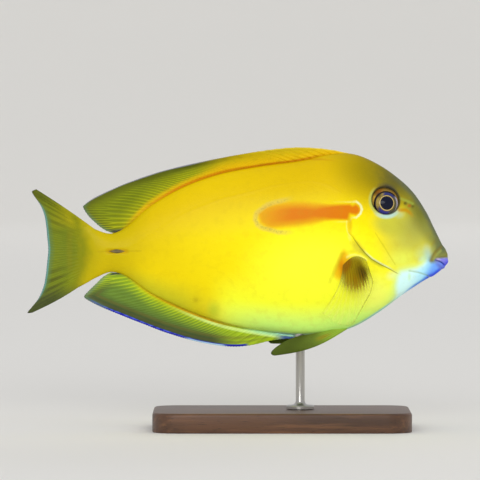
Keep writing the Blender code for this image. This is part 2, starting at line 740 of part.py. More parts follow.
def make_rod(material):
    """The turned rod: a flat foot, a straight stem and a head that fits the belly."""
    belly = station_at(ROD_PLACE)[1]
    bottom = BASE_THICKNESS + GAP - AXIS_HEIGHT
    foot_top = bottom + ROD_FOOT_HEIGHT
    head = belly - ROD_HEAD_HEIGHT
    profile = [
        (ROD_FOOT_RADIUS, bottom), (ROD_FOOT_RADIUS, foot_top - ROD_FOOT_EDGE),
        (ROD_FOOT_RADIUS - ROD_FOOT_EDGE, foot_top), (ROD_RADIUS + ROD_FILLET, foot_top),
        (ROD_RADIUS, foot_top + ROD_FILLET), (ROD_RADIUS, head),
        (ROD_HEAD_RADIUS, head + ROD_HEAD_TAPER), (ROD_HEAD_RADIUS, belly + ROD_SINK),
    ]
    points, faces = [], []
    for radius, z in profile:
        for k in range(ROD_SEGMENTS):
            turn = 2 * math.pi * k / ROD_SEGMENTS
            points.append((ROD_PLACE + radius * math.cos(turn), radius * math.sin(turn), z))
    for i in range(len(profile) - 1):
        for k in range(ROD_SEGMENTS):
            n = (k + 1) % ROD_SEGMENTS
            a, b = i * ROD_SEGMENTS, (i + 1) * ROD_SEGMENTS
            faces.append((a + k, a + n, b + n, b + k))
    faces.append(tuple(range(ROD_SEGMENTS))[::-1])
    faces.append(tuple(range(len(points) - ROD_SEGMENTS, len(points))))
    rod = outward(make_object("stand_rod", points, faces))
    boolean(rod, body_loft("clearance", grow=SOCKET_GAP), "DIFFERENCE")
    return finish(keep_largest(rod), material, STAND_SHARP)


def clear_scene():
    """Removes whatever the scene held."""
    for obj in list(bpy.data.objects):
        bpy.data.objects.remove(obj)


def main():
    """Builds every piece of the fish and its stand."""
    clear_scene()
    skin = make_material("yellow_skin", (0.85, 0.62, 0.01), 0.4)
    membrane = make_material("fin_membrane", (0.34, 0.38, 0.02), 0.45)
    eye = make_material("eye", (0.05, 0.05, 0.1), 0.1)
    blade = make_material("scalpel_bone", (0.25, 0.19, 0.12), 0.4)
    wood = make_material("walnut", (0.09, 0.05, 0.03), 0.45)
    steel = make_material("steel", (0.6, 0.6, 0.6), 0.3, 1.0)

    make_head(skin)
    make_torso(skin)
    make_stalk(skin)
    median_fin("dorsal_fin", DORSAL_TIPS, DORSAL_SPINES, DORSAL_RAYS, True, membrane)
    median_fin("anal_fin", ANAL_TIPS, ANAL_SPINES, ANAL_RAYS, False, membrane)
    make_tail_lobe("tail_fin_upper", TAIL_UPPER_TIPS, membrane)
    make_tail_lobe("tail_fin_lower", TAIL_LOWER_TIPS, membrane)
    for side, word, droop in ((-1, "right", PELVIC_DROOP_RIGHT), (1, "left", PELVIC_DROOP_LEFT)):
        finish(eye_ball("eye_" + word, side), eye)
        finish(scalpel_shape("scalpel_" + word, side), blade)
        make_pectoral("pectoral_fin_" + word, side, membrane)
        make_pelvic("pelvic_fin_" + word, side, droop, membrane)
    make_base(wood)
    make_rod(steel)


if __name__ == "__main__":
    main()
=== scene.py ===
"""The looks of a life-size orangeshoulder tang on a plain display stand.

Sizes are in millimetres and colours are sRGB hex values. The fish is drawn
about its body axis, a level line through the tail stalk and the mouth that
runs AXIS_HEIGHT above the floor. +X is towards the snout, and the fish's left
side is +Y. A place on the fish is its distance along the body and its height
above the axis, and holds for both sides.
"""
import logging
import math
from collections.abc import Callable
from dataclasses import dataclass, field
from enum import Enum

import bpy
import numpy as np
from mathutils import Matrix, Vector


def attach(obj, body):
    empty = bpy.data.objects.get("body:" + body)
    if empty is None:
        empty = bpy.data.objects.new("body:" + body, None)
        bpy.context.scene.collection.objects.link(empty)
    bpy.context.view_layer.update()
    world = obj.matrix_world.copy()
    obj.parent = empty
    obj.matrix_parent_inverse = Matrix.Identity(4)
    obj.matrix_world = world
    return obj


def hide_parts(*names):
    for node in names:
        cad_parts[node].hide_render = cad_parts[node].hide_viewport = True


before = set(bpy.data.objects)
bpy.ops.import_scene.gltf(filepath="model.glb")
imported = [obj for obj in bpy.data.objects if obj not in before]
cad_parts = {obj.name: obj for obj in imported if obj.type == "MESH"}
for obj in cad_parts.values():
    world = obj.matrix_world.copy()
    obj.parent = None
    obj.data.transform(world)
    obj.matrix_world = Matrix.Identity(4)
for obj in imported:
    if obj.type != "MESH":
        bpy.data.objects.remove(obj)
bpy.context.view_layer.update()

log = logging.getLogger("tang")

MM = 0.001
AXIS_HEIGHT = 64.0
MERGE_DISTANCE = 1e-6
# Where a surface shrinks to a point, its normals are still divided by at least this.
SHORTEST_NORMAL = 1e-12
SHARP_ANGLE = math.radians(30.0)
# An oval's reach across the fish, in metres: so large that depth makes no difference to it.
RIGHT_THROUGH = 1e3
Place = tuple[float, float]
Line = tuple[Place, ...]


class Side(Enum):
    """The fish's two sides, as the sign of their Y."""

    RIGHT = -1
    LEFT = 1


# Curves and distances

def spline(rows: np.ndarray, steps: int) -> np.ndarray:
    """Draws the smooth curve through some points.

    Args:
        rows: The points, one in each row.
        steps: How many points are made for each gap.

    Returns:
        The curve's points, one in each row.
    """
    rows = np.asarray(rows, float)
    padded = np.vstack([2 * rows[0] - rows[1], rows, 2 * rows[-1] - rows[-2]])
    made = []
    for i in range(1, len(padded) - 2):
        before, start, end, after = padded[i - 1:i + 3]
        for t in np.arange(steps) / steps:
            made.append(0.5 * (2 * start + (end - before) * t
                               + (2 * before - 5 * start + 4 * end - after) * t ** 2
                               + (3 * start - before - 3 * end + after) * t ** 3))
    made.append(padded[-2])
    return np.array(made)


def ease(value: np.ndarray) -> np.ndarray:
    """Turns 0 to 1 into 0 to 1 with a soft start and end."""
    value = np.clip(value, 0.0, 1.0)
    return value * value * (3 - 2 * value)


def measure_line(x: np.ndarray, z: np.ndarray, line: Line) -> tuple[np.ndarray, np.ndarray]:
    """Measures places against a line drawn in side view.

    Args:
        x: The places' distances along the body.
        z: Their heights.
        line: The line's points.

    Returns:
        The distance from the line, above zero on its left as it runs, and the
        share of the line's length at which each place meets it.
    """
    points = np.array(line, float)
    lengths = np.hypot(*np.diff(points, axis=0).T)
    starts = np.concatenate([[0.0], np.cumsum(lengths)])
    best = np.full(x.shape, np.inf)
    signed, share = np.zeros(x.shape), np.zeros(x.shape)
    for (x0, z0), (x1, z1), length, start in zip(points, points[1:], lengths, starts):
        along = np.clip(((x - x0) * (x1 - x0) + (z - z0) * (z1 - z0)) / length ** 2, 0.0, 1.0)
        away = np.hypot(x - x0 - along * (x1 - x0), z - z0 - along * (z1 - z0))
        left = np.sign((x1 - x0) * (z - z0) - (z1 - z0) * (x - x0))
        near = away < best
        best = np.where(near, away, best)
        signed = np.where(near, away * left, signed)
        share = np.where(near, (start + along * length) / starts[-1], share)
    return signed, share


def measure_outline(x: np.ndarray, z: np.ndarray, outline: Line) -> np.ndarray:
    """Measures places against a closed outline drawn in side view.

    Args:
        x: The places' distances along the body.
        z: Their heights.
        outline: The outline's points.

    Returns:
        How far each place lies outside the outline, below zero inside it.
    """
    closed = outline + outline[:1]
    inside = np.zeros(x.shape, bool)
    for (x0, z0), (x1, z1) in zip(closed, closed[1:]):
        if z0 != z1:
            crosses = (z0 > z) != (z1 > z)
            inside ^= crosses & (x < x0 + (z - z0) / (z1 - z0) * (x1 - x0))
    away = np.abs(measure_line(x, z, closed)[0])
    return np.where(inside, -away, away)


# Meshes

def deselect_all() -> None:
    """Leaves nothing selected, so that an operator acts on the new piece alone."""
    for obj in bpy.context.selected_objects:
        obj.select_set(False)


def name_new(name: str) -> bpy.types.Object:
    """Names the object that an operator has just added.

    Args:
        name: Its name.

    Returns:
        The object.
    """
    piece = bpy.context.active_object
    piece.name = piece.data.name = name
    return piece


def read_points(piece: bpy.types.Object) -> np.ndarray:
    """Reads where a piece's points lie.

    Args:
        piece: The piece.

    Returns:
        The points, one in each row.
    """
    flat = np.empty(len(piece.data.vertices) * 3)
    piece.data.vertices.foreach_get("co", flat)
    return flat.reshape(-1, 3)


def place_points(piece: bpy.types.Object, points: np.ndarray) -> None:
    """Places a piece's points, given in millimetres about the body axis."""
    piece.data.vertices.foreach_set("co", ((points + (0.0, 0.0, AXIS_HEIGHT)) * MM).ravel())


def close_seams(piece: bpy.types.Object) -> None:
    """Merges the points that meet at seams and poles, and turns all faces outwards.

    Args:
        piece: The piece, in object mode.
    """
    deselect_all()
    piece.select_set(True)
    bpy.context.view_layer.objects.active = piece
    bpy.ops.object.mode_set(mode="EDIT")
    bpy.ops.mesh.select_all(action="SELECT")
    bpy.ops.mesh.remove_doubles(threshold=MERGE_DISTANCE)
    bpy.ops.mesh.dissolve_degenerate(threshold=MERGE_DISTANCE)
    bpy.ops.mesh.select_all(action="SELECT")
    bpy.ops.mesh.normals_make_consistent(inside=False)
    bpy.ops.object.mode_set(mode="OBJECT")


def store(piece: bpy.types.Object, measures: dict[str, np.ndarray]) -> None:
    """Stores measures on a piece's points, for its paint to read.

    Args:
        piece: The piece.
        measures: Each measure's values by its name, in millimetres where it is a length.
    """
    for name, values in measures.items():
        kept = piece.data.attributes.new(name, "FLOAT", "POINT")
        kept.data.foreach_set("value", np.ascontiguousarray(values, dtype=np.float32).ravel())


def grid_piece(name: str, surface: np.ndarray, measures: dict[str, np.ndarray]) -> bpy.types.Object:
    """Lays a grid over a surface and closes it where its borders meet.

    Args:
        name: The piece's name.
        surface: The points in columns and rows, in millimetres about the body axis.
        measures: Measures to store on the points, in the same columns and rows.

    Returns:
        The piece, smooth shaded.
    """
    columns, rows = surface.shape[:2]
    deselect_all()
    bpy.ops.mesh.primitive_grid_add(x_subdivisions=columns - 1, y_subdivisions=rows - 1, size=2.0)
    piece = name_new(name)
    flat = read_points(piece)
    column = np.rint((flat[:, 0] + 1) / 2 * (columns - 1)).astype(int)
    row = np.rint((flat[:, 1] + 1) / 2 * (rows - 1)).astype(int)
    place_points(piece, surface[column, row])
    store(piece, {key: values[column, row] for key, values in measures.items()})
    close_seams(piece)
    piece.data.shade_smooth()
    return piece


def surface_normals(surface: np.ndarray) -> np.ndarray:
    """Works out the unit normals of a surface.

    Args:
        surface: The surface's points in columns and rows.

    Returns:
        A normal for each point.
    """
    across = np.cross(np.gradient(surface, axis=0), np.gradient(surface, axis=1))
    length = np.linalg.norm(across, axis=2, keepdims=True)
    return across / np.maximum(length, SHORTEST_NORMAL)


def settle(piece: bpy.types.Object, material: bpy.types.Material, slot: str, *nodes: str) -> None:
    """Dresses a piece and fixes it to the frame.

    Args:
        piece: The finished piece.
        material: Its material.
        slot: The name of a material slot, which is not used.
        nodes: The frame's nodes that it stands for.
    """
    piece.data.materials.clear()
    piece.data.materials.append(material)
    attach(piece, "root")
    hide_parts(*nodes)
    log.info("%s: %d points, stands for %s", piece.name, len(piece.data.vertices), ", ".join(nodes))


# Paint

def linear(colour: str) -> tuple[float, float, float, float]:
    """Turns an sRGB colour into linear light, by the standard's own curve.

    Args:
        colour: The colour as a hex value.

    Returns:
        Red, green and blue in linear light, and full alpha.
    """
    channels = [int(colour[i:i + 2], 16) / 255 for i in (1, 3, 5)]
    lit = [c / 12.92 if c <= 0.04045 else ((c + 0.055) / 1.055) ** 2.4 for c in channels]
    return (*lit, 1.0)


def add_node(tree: bpy.types.NodeTree, kind: str, inputs: dict[str | int, object] | None = None,
             **settings: object) -> bpy.types.Node:
    """Adds a node with its settings and links.

    Args:
        tree: The material's node tree.
        kind: The node's type, without ShaderNode in front.
        inputs: What goes into each input, by its name or number: a value or another node's output.
        settings: The node's properties.

    Returns:
        The new node.
    """
    made = tree.nodes.new(f"ShaderNode{kind}")
    for name, value in settings.items():
        setattr(made, name, value)
    for place, value in (inputs or {}).items():
        if isinstance(value, bpy.types.NodeSocket):
            tree.links.new(value, made.inputs[place])
        else:
            made.inputs[place].default_value = value
    return made


# The colour sockets of a Mix node, which has one set of sockets for each kind of value.
MIX_BELOW, MIX_ABOVE, MIX_RESULT = 6, 7, 2


@dataclass
class Paint:
    """A material that is built up colour over colour."""

    name: str
    ground: str
    roughness: float
    ior: float
    coat: float = 0.0
    coat_roughness: float = 0.1
    metallic: float = 0.0
    specular: float = 0.5

    def __post_init__(self) -> None:
        """Starts the material with its ground colour."""
        self.material = bpy.data.materials.new(self.name)
        self.material.use_nodes = True
        self.tree = self.material.node_tree
        self.shader = self.tree.nodes["Principled BSDF"]
        constant = {"Roughness": self.roughness, "IOR": self.ior, "Metallic": self.metallic,
                    "Coat Weight": self.coat, "Coat Roughness": self.coat_roughness,
                    "Specular IOR Level": self.specular}
        for name, value in constant.items():
            self.shader.inputs[name].default_value = value
        self.place = add_node(self.tree, "TexCoord").outputs["Object"]
        self.colour = linear(self.ground)
        self.read: dict[str, bpy.types.NodeSocket] = {}
        self.bump = None
        self.opacity = None

    def measure(self, name: str) -> bpy.types.NodeSocket:
        """Reads a measure that is stored on the mesh.

        Args:
            name: The measure's name.

        Returns:
            Its value, from one node however often it is read.
        """
        if name not in self.read:
            node = add_node(self.tree, "Attribute", attribute_name=name)
            self.read[name] = node.outputs["Fac"]
        return self.read[name]

    def grain(self, size: float, detail: float = 2.0, stretch: Place = (1.0, 1.0)) -> bpy.types.NodeSocket:
        """Makes a soft random pattern.

        Args:
            size: How large its blotches are.
            detail: How much finer pattern it holds.
            stretch: How many times longer they are along the body, and higher.

        Returns:
            The pattern, about 0.5 on average.
        """
        scale = (1 / stretch[0], 1.0, 1 / stretch[1])
        spread = add_node(self.tree, "Mapping", {"Vector": self.place, "Scale": scale})
        noise = add_node(self.tree, "TexNoise", {"Vector": spread.outputs[0], "Scale": 1 / (size * MM),
                                                 "Detail": detail})
        return noise.outputs["Fac"]

    def cover(self, colour: str, mask: bpy.types.NodeSocket) -> None:
        """Lays a colour over what is there, as far as a mask lets it."""
        mix = add_node(self.tree, "Mix", {"Factor": mask, MIX_BELOW: self.colour, MIX_ABOVE: linear(colour)},
                       data_type="RGBA")
        self.colour = mix.outputs[MIX_RESULT]

    def emboss(self, pattern: bpy.types.NodeSocket, height: float) -> None:
        """Adds fine relief to the surface.

        Args:
            pattern: The relief's pattern.
            height: How many millimetres it stands out where the pattern is 1, or sinks in if below zero.
        """
        inputs = {"Height": pattern, "Distance": height * MM, "Strength": 1.0}
        if self.bump is not None:
            inputs["Normal"] = self.bump
        self.bump = add_node(self.tree, "Bump", inputs).outputs["Normal"]

    def thin(self, clear: float, solid: tuple[tuple[tuple["Mask", ...], float], ...]) -> None:
        """Makes the surface see-through, apart from where masks keep it solid.

        Args:
            clear: How solid its clearest part is.
            solid: Masks that make it more solid where all of them are full, and by how much.
        """
        self.opacity = clear
        for masks, strength in solid:
            added = add_node(self.tree, "Math", {0: cross(self, masks), 1: strength, 2: self.opacity},
                             operation="MULTIPLY_ADD", use_clamp=True)
            self.opacity = added.outputs[0]

    def finish(self) -> bpy.types.Material:
        """Links the colours, the relief and the opacity to the shader.

        Returns:
            The finished material.
        """
        if isinstance(self.colour, bpy.types.NodeSocket):
            self.tree.links.new(self.colour, self.shader.inputs["Base Color"])
        else:
            self.shader.inputs["Base Color"].default_value = self.colour
        if self.bump is not None:
            self.tree.links.new(self.bump, self.shader.inputs["Normal"])
        if self.opacity is not None:
            self.tree.links.new(self.opacity, self.shader.inputs["Alpha"])
        return self.material


@dataclass(frozen=True)
class Fade:
    """A mask that fades in as a stored measure goes from one value to another."""

    measure: str
    # The measure at which there is nothing of it, and at which it is full.
    none: float
    full: float
    # How far its edge wanders, and how large the bends are.
    ragged: float = 0.0
    grain: float = 0.8

    def mask(self, paint: Paint) -> bpy.types.NodeSocket:
        """Makes the mask.

        Args:
            paint: The paint that it is for.

        Returns:
            The mask, from 0 to 1.
        """
        value = paint.measure(self.measure)
        if self.ragged:
            wander = add_node(paint.tree, "Math", {0: paint.grain(self.grain), 1: 2 * self.ragged,
                                                   2: -self.ragged}, operation="MULTIPLY_ADD")
            value = add_node(paint.tree, "Math", {0: value, 1: wander.outputs[0]}, operation="ADD").outputs[0]
        fade = add_node(paint.tree, "MapRange",
                        {"Value": value, "From Min": self.none, "From Max": self.full},
                        interpolation_type="SMOOTHSTEP")
        return fade.outputs["Result"]


@dataclass(frozen=True)
class Oval:
    """A mask that is full inside an oval drawn in side view and soft towards its edge."""

    centre: Place
    reach: Place
    # How far its front is turned up, in degrees.
    turn: float = 0.0
    # The share of it that is full.
    core: float = 0.0

    def mask(self, paint: Paint) -> bpy.types.NodeSocket:
        """Makes the mask, which reaches right through the fish.

        Args:
            paint: The paint that it is for.

        Returns:
            The mask, from 0 to 1.
        """
        centre = (self.centre[0] * MM, 0.0, (self.centre[1] + AXIS_HEIGHT) * MM)
        size = (self.reach[0] * MM, RIGHT_THROUGH, self.reach[1] * MM)
        spread = add_node(paint.tree, "Mapping",
                          {"Vector": paint.place, "Location": centre, "Scale": size,
                           "Rotation": (0.0, -math.radians(self.turn), 0.0)}, vector_type="TEXTURE")
        reach = add_node(paint.tree, "VectorMath", {0: spread.outputs[0]}, operation="LENGTH")
        fade = add_node(paint.tree, "MapRange", {"Value": reach.outputs["Value"], "From Min": 1.0,
                                                 "From Max": self.core}, interpolation_type="SMOOTHSTEP")
        return fade.outputs["Result"]


@dataclass(frozen=True)
class Blotches:
    """A mask of random blotches of some size, full where the pattern is above a level."""

    size: float
    level: float
    soft: float = 0.06
    stretch: Place = (1.0, 1.0)

    def mask(self, paint: Paint) -> bpy.types.NodeSocket:
        """Makes the mask.

        Args:
            paint: The paint that it is for.

        Returns:
            The mask, from 0 to 1.
        """
        fade = add_node(paint.tree, "MapRange",
                        {"Value": paint.grain(self.size, stretch=self.stretch),
                         "From Min": self.level - self.soft, "From Max": self.level + self.soft},
                        interpolation_type="SMOOTHSTEP")
        return fade.outputs["Result"]


Mask = Fade | Oval | Blotches


def cross(paint: Paint, masks: tuple[Mask, ...]) -> bpy.types.NodeSocket:
    """Makes a mask that is full where all of some masks are.

    Args:
        paint: The paint that it is for.
        masks: The masks.

    Returns:
        The mask, from 0 to 1.
    """
    reach = masks[0].mask(paint)
    for extra in masks[1:]:
        both = add_node(paint.tree, "Math", {0: reach, 1: extra.mask(paint)}, operation="MULTIPLY")
        reach = both.outputs[0]
    return reach


@dataclass(frozen=True)
class Marking:
    """A colour laid where all of its masks let it."""

    colour: str
    masks: tuple[Mask, ...]
    strength: float = 1.0

    def lay(self, paint: Paint) -> None:
        """Lays the marking over the paint so far."""
        weak = add_node(paint.tree, "Math", {0: cross(paint, self.masks), 1: self.strength},
                        operation="MULTIPLY")
        paint.cover(self.colour, weak.outputs[0])


def rearward(x: np.ndarray, z: np.ndarray) -> np.ndarray:
    """Measures how far back the tail's colours lie, which reach further back in its lobes."""
    reach, curve, middle = 4.0, 0.04, -0.6
    return x + reach * (1 - np.exp(-curve * (z - middle) ** 2 / reach))


# The tail stalk's colours, which run on over the roots of the tail fin's rays.
TAIL_ROOT = (
    Marking("#c4ae04", (Fade("along", -28.0, -44.0),)),
    Marking("#b4a406", (Fade("rearward", -46.5, -51.5),), 0.9),
    Marking("#7e820e", (Fade("rearward", -50.4, -55.4, 0.9, 2.5),), 0.95),
    Marking("#6c7a1a", (Fade("rearward", -55.4, -59.5, 0.9, 2.5),)),
)


# The body: lines and outlines in side view

GILL_FOLD = ((39.0, 10.6), (38.9, 8.6), (39.2, 6.8), (40.2, 5.2))
GILL_OPENING = ((39.3, 10.0), (39.3, 6.8), (40.9, 5.4), (43.1, 2.2), (45.7, -0.9), (48.0, -3.0),
                (50.9, -4.7), (53.8, -6.2), (56.9, -7.9))
BACK_LINE = ((20.0, 32.1), (26.0, 32.5), (31.0, 32.4), (36.0, 31.8))
PREOPERCLE = ((49.2, 6.3), (50.4, 4.3), (52.0, 1.9), (53.7, -0.9), (55.2, -3.3), (56.2, -4.9))
LOWER_JAW = ((61.3, -7.3), (64.6, -7.9), (67.6, -8.9), (69.0, -9.9))
MOUTH_SLIT = ((71.1, -3.6), (72.1, -3.9), (73.0, -4.4), (73.7, -5.0), (74.1, -5.35))
UPPER_LIP = ((71.8, -3.3), (73.4, -3.6), (75.4, -4.1))
LOWER_LIP = ((71.6, -4.5), (72.6, -5.2), (73.6, -6.1))
SNOUT_FOLD = ((72.9, 1.2), (71.0, -0.4), (69.7, -2.4), (69.1, -3.8))
LIP_LOBE = ((72.6, -0.2), (71.0, -1.7), (69.9, -3.3))
LIP_FOLD = ((70.8, -3.3), (72.4, -2.6), (74.8, -2.2))
SNOUT_TIP = ((70.9, 4.0), (70.8, 0.6), (69.6, -1.4), (68.8, -3.5), (69.4, -4.2), (71.0, -4.0), (72.4, -3.3),
             (74.0, -3.0), (78.0, -3.0), (78.0, 6.0))
UPPER_LIP_SKIN = ((70.8, -3.5), (72.4, -2.9), (74.0, -2.8), (77.0, -2.7), (77.0, -6.6), (74.9, -5.7),
                  (73.4, -4.5), (72.4, -3.9))
LOWER_LIP_SKIN = ((70.8, -3.7), (72.0, -4.1), (73.0, -4.7), (74.4, -5.6), (74.6, -7.4), (72.8, -7.0),
                  (71.5, -5.6))
THROAT = ((38.0, -60.0), (56.8, -16.0), (56.6, -12.5), (57.2, -9.2), (58.4, -7.4), (60.6, -6.9),
          (63.9, -6.2), (66.0, -5.1), (67.2, -3.9), (68.0, -2.8), (68.8, -2.6), (70.4, -3.4), (80.0, -4.5),
          (80.0, -60.0))
CHIN = ((66.5, -14.5), (68.4, -8.0), (70.0, -4.6), (72.0, -4.2), (80.0, -3.0), (80.0, -20.0))
SHOULDER_BAND = ((39.3, 16.6), (32.5, 16.4), (28.0, 16.7), (23.6, 17.1), (19.1, 17.0), (14.7, 16.6),
                 (10.2, 15.4), (7.6, 13.2), (8.6, 9.8), (11.7, 8.1), (17.7, 8.7), (23.6, 9.3), (28.0, 10.1),
                 (31.0, 10.8), (35.4, 11.0), (39.7, 10.9), (40.2, 13.0), (42.5, 12.6), (43.6, 13.4),
                 (43.9, 14.1), (43.9, 15.0), (43.2, 16.1), (42.2, 16.7), (41.1, 16.1), (40.2, 16.6))
BAND_HALO = ((33.0, 17.3), (38.4, 17.4), (40.7, 17.4), (42.5, 17.5), (43.9, 16.2), (44.4, 14.6),
             (43.8, 13.1), (42.4, 11.8), (40.7, 11.8), (40.1, 10.4), (38.6, 10.3), (33.0, 10.3))
BAND_REAR = ((34.0, 18.6), (20.5, 18.6), (18.9, 18.4), (14.4, 17.3), (12.6, 16.9), (10.6, 16.1), (8.5, 14.6),
             (6.9, 13.2), (6.5, 11.1), (7.3, 9.3), (9.1, 8.1), (11.7, 7.5), (14.7, 6.6), (18.5, 6.6),
             (34.0, 6.6))
EYE_STREAK = ((57.8, 14.4), (60.1, 14.4), (61.0, 13.9), (62.6, 12.6))
NOSTRIL_FRINGE = ((58.4, 18.4), (60.6, 17.6), (62.6, 16.6))
REAR_NOSTRIL = ((60.0, 16.8), (60.05, 16.8))
FRONT_NOSTRIL = ((62.6, 15.5), (62.65, 15.5))
NOSTRIL_BRIDGE = ((61.3, 16.3), (61.4, 16.2))
CHEEK = ((56.0, 1.0), (60.0, 3.0))
LATERAL_LINE = ((-38.0, 1.4), (-30.0, 6.0), (-18.0, 13.4), (-6.0, 18.2), (7.3, 21.5), (11.7, 22.9),
                (18.9, 24.1), (25.1, 24.9), (29.5, 24.4), (32.5, 23.4), (37.5, 20.6))
FIN_RIM = ((39.1, -2.3), (40.4, -1.6), (41.8, -1.4), (43.8, -1.9), (45.9, -3.2))
WEDGE_EDGE = ((37.4, -1.0), (35.5, -5.0), (34.1, -8.4), (32.9, -11.2))
FIN_WEDGE = ((38.0, 0.4), (40.0, -1.4), (39.4, -4.0), (38.2, -6.5), (37.8, -9.0), (36.6, -10.4),
             (35.2, -10.6), (34.2, -9.6), (34.9, -7.2), (35.9, -4.6), (37.0, -1.8))
BROW = ((41.0, 35.6), (46.0, 33.4), (50.4, 30.6), (58.0, 25.3), (63.2, 20.2), (67.5, 13.7), (70.0, 8.6),
        (72.2, 4.2), (74.4, 0.2))
SCALPEL_SLOT = ((-46.0, -0.4), (-39.6, -0.4))
PEDUNCLE_LINE = ((-49.6, -0.5), (-34.0, -0.2))


@dataclass(frozen=True)
class BodyForm:
    """The fish's body, as sections along its axis.

    Each station is a distance along the body, its top, bottom and half width
    there, and the height at which it is widest.
    """

    stations: tuple[tuple[float, ...], ...] = (
        (75.0, -0.9, -5.0, 1.5, -3.1), (74.3, 0.6, -5.8, 2.3, -3.0), (73.2, 2.1, -6.8, 2.9, -2.7),
        (72.2, 4.1, -7.7, 3.4, -2.4), (70.0, 8.6, -9.3, 4.4, -1.8), (67.5, 13.7, -10.5, 5.3, -1.0),
        (63.2, 20.2, -13.2, 6.6, 0.2), (58.0, 25.3, -16.8, 7.9, 1.2), (50.4, 30.6, -22.4, 9.3, 2.0),
        (41.8, 34.2, -27.4, 10.2, 2.2), (33.0, 34.2, -29.8, 10.5, 2.0), (22.0, 31.9, -30.4, 10.3, 1.4),
        (8.0, 30.0, -28.8, 9.5, 0.6), (-6.0, 27.3, -25.9, 8.2, 0.0), (-19.0, 22.7, -21.2, 6.5, -0.3),
        (-31.0, 15.8, -15.4, 4.6, -0.4), (-39.5, 8.4, -9.5, 3.3, -0.6), (-45.0, 5.9, -7.9, 2.6, -0.8),
        (-50.5, 7.4, -10.0, 1.8, -0.8), (-53.0, 8.9, -11.4, 1.05, -0.8), (-55.0, 10.0, -12.5, 0.5, -0.8),
        (-57.5, 11.5, -13.8, 0.08, -0.8),
    )
    # How pinched a section is above its widest height, and below it. At 1 it is half an ellipse.
    back_pinch: float = 1.1
    belly_fullness: float = 0.9
    # How many points are drawn between two stations, and round half a section before they are spaced.
    steps: int = 12
    section_steps: int = 241

    def measures(self, x: np.ndarray) -> tuple[np.ndarray, ...]:
        """Reads the body's top, bottom, half width and widest height at distances along it."""
        fine = spline(self.stations, self.steps)[::-1]
        return tuple(np.interp(x, fine[:, 0], fine[:, k]) for k in range(1, 5))

    def relative_height(self, x: np.ndarray, z: np.ndarray) -> np.ndarray:
        """Measures height from -1 at the belly through 0 where the body is widest to 1 at the back."""
        top, bottom, _, widest = self.measures(x)
        return (z - widest) / np.where(z >= widest, top - widest, widest - bottom)

    def flank(self, x: np.ndarray, z: np.ndarray) -> np.ndarray:
        """Works out how far the skin lies from the fish's middle plane.

        Args:
            x: Distances along the body.
            z: Heights.

        Returns:
            The body's half width at these places.
        """
        half_width = self.measures(x)[2]
        height = np.clip(self.relative_height(x, z), -1.0, 1.0)
        power = np.where(height >= 0, self.back_pinch, self.belly_fullness)
        return half_width * (1 - height ** 2) ** (power / 2)

    def section(self, top: float, bottom: float, half_width: float, widest: float, count: int) -> np.ndarray:
        """Draws one section as points that are evenly spaced round it.

        Args:
            top: Height of its top.
            bottom: Height of its bottom.
            half_width: Its greatest half width.
            widest: The height at which it is widest.
            count: How many points half of it has.

        Returns:
            Depth and height of points from the top down the left side to the
            bottom and up the right side to the top again.
        """
        turn = np.linspace(0.0, math.pi, self.section_steps)
        upper = turn <= math.pi / 2
        z = widest + np.where(upper, top - widest, widest - bottom) * np.cos(turn)
        y = half_width * np.abs(np.sin(turn)) ** np.where(upper, self.back_pinch, self.belly_fullness)
        y[[0, -1]] = 0.0
        length = np.concatenate([[0.0], np.cumsum(np.hypot(np.diff(y), np.diff(z)))])
        even = np.linspace(0.0, length[-1], count + 1)
        half = np.stack([np.interp(even, length, y), np.interp(even, length, z)], axis=1)
        return np.vstack([half, (half[::-1] * (-1, 1))[1:]])


@dataclass(frozen=True)
class EyePlace:
    """Where the eyes sit, and which way they look."""

    centre: Place = (52.9, 17.9)
    # Ahead, out and up.
    facing: tuple[float, float, float] = (0.22, 1.0, 0.33)
    # How far the ball's middle lies under the skin.
    sink: float = 1.5
    # The pupil lies ahead of the eye's middle and below it.
    pupil_shift: Place = (0.1, -1.35)

    def axis(self, form: BodyForm, side: Side) -> tuple[Vector, Vector]:
        """Finds one eye's axis.

        Args:
            form: The body that the eye sits in.
            side: The eye's side.

        Returns:
            The point where the axis leaves the skin, and its direction.
        """
        x, z = self.centre
        ahead, out, up = self.facing
        depth = side.value * float(form.flank(x, z))
        return Vector((x, depth, z)), Vector((ahead, side.value * out, up)).normalized()

    def off_axis(self, form: BodyForm, side: Side, points: np.ndarray,
                 shift: Place = (0.0, 0.0)) -> np.ndarray:
        """Measures how far points lie from one eye's axis.

        Args:
            form: The body that the eye sits in.
            side: The eye's side.
            points: The points.
            shift: How far ahead of the axis and above it the line lies that is measured from.

        Returns:
            The points' distances from that line.
        """
        start, facing = self.axis(form, side)
        away = points - (np.array(start) + (shift[0], 0.0, shift[1]))
        beside = away - (away @ np.array(facing))[..., None] * np.array(facing)
        return np.linalg.norm(beside, axis=-1)


@dataclass(frozen=True)
class Crease:
    """A groove along a line on both sides, or a ridge where its height is above zero."""

    line: Line
    height: float
    width: float

    def rise(self, x: np.ndarray, z: np.ndarray) -> np.ndarray:
        """Works out how far it lifts the skin at places."""
        away = measure_line(x, z, self.line)[0]
        return self.height * np.exp(-(away / self.width) ** 2)


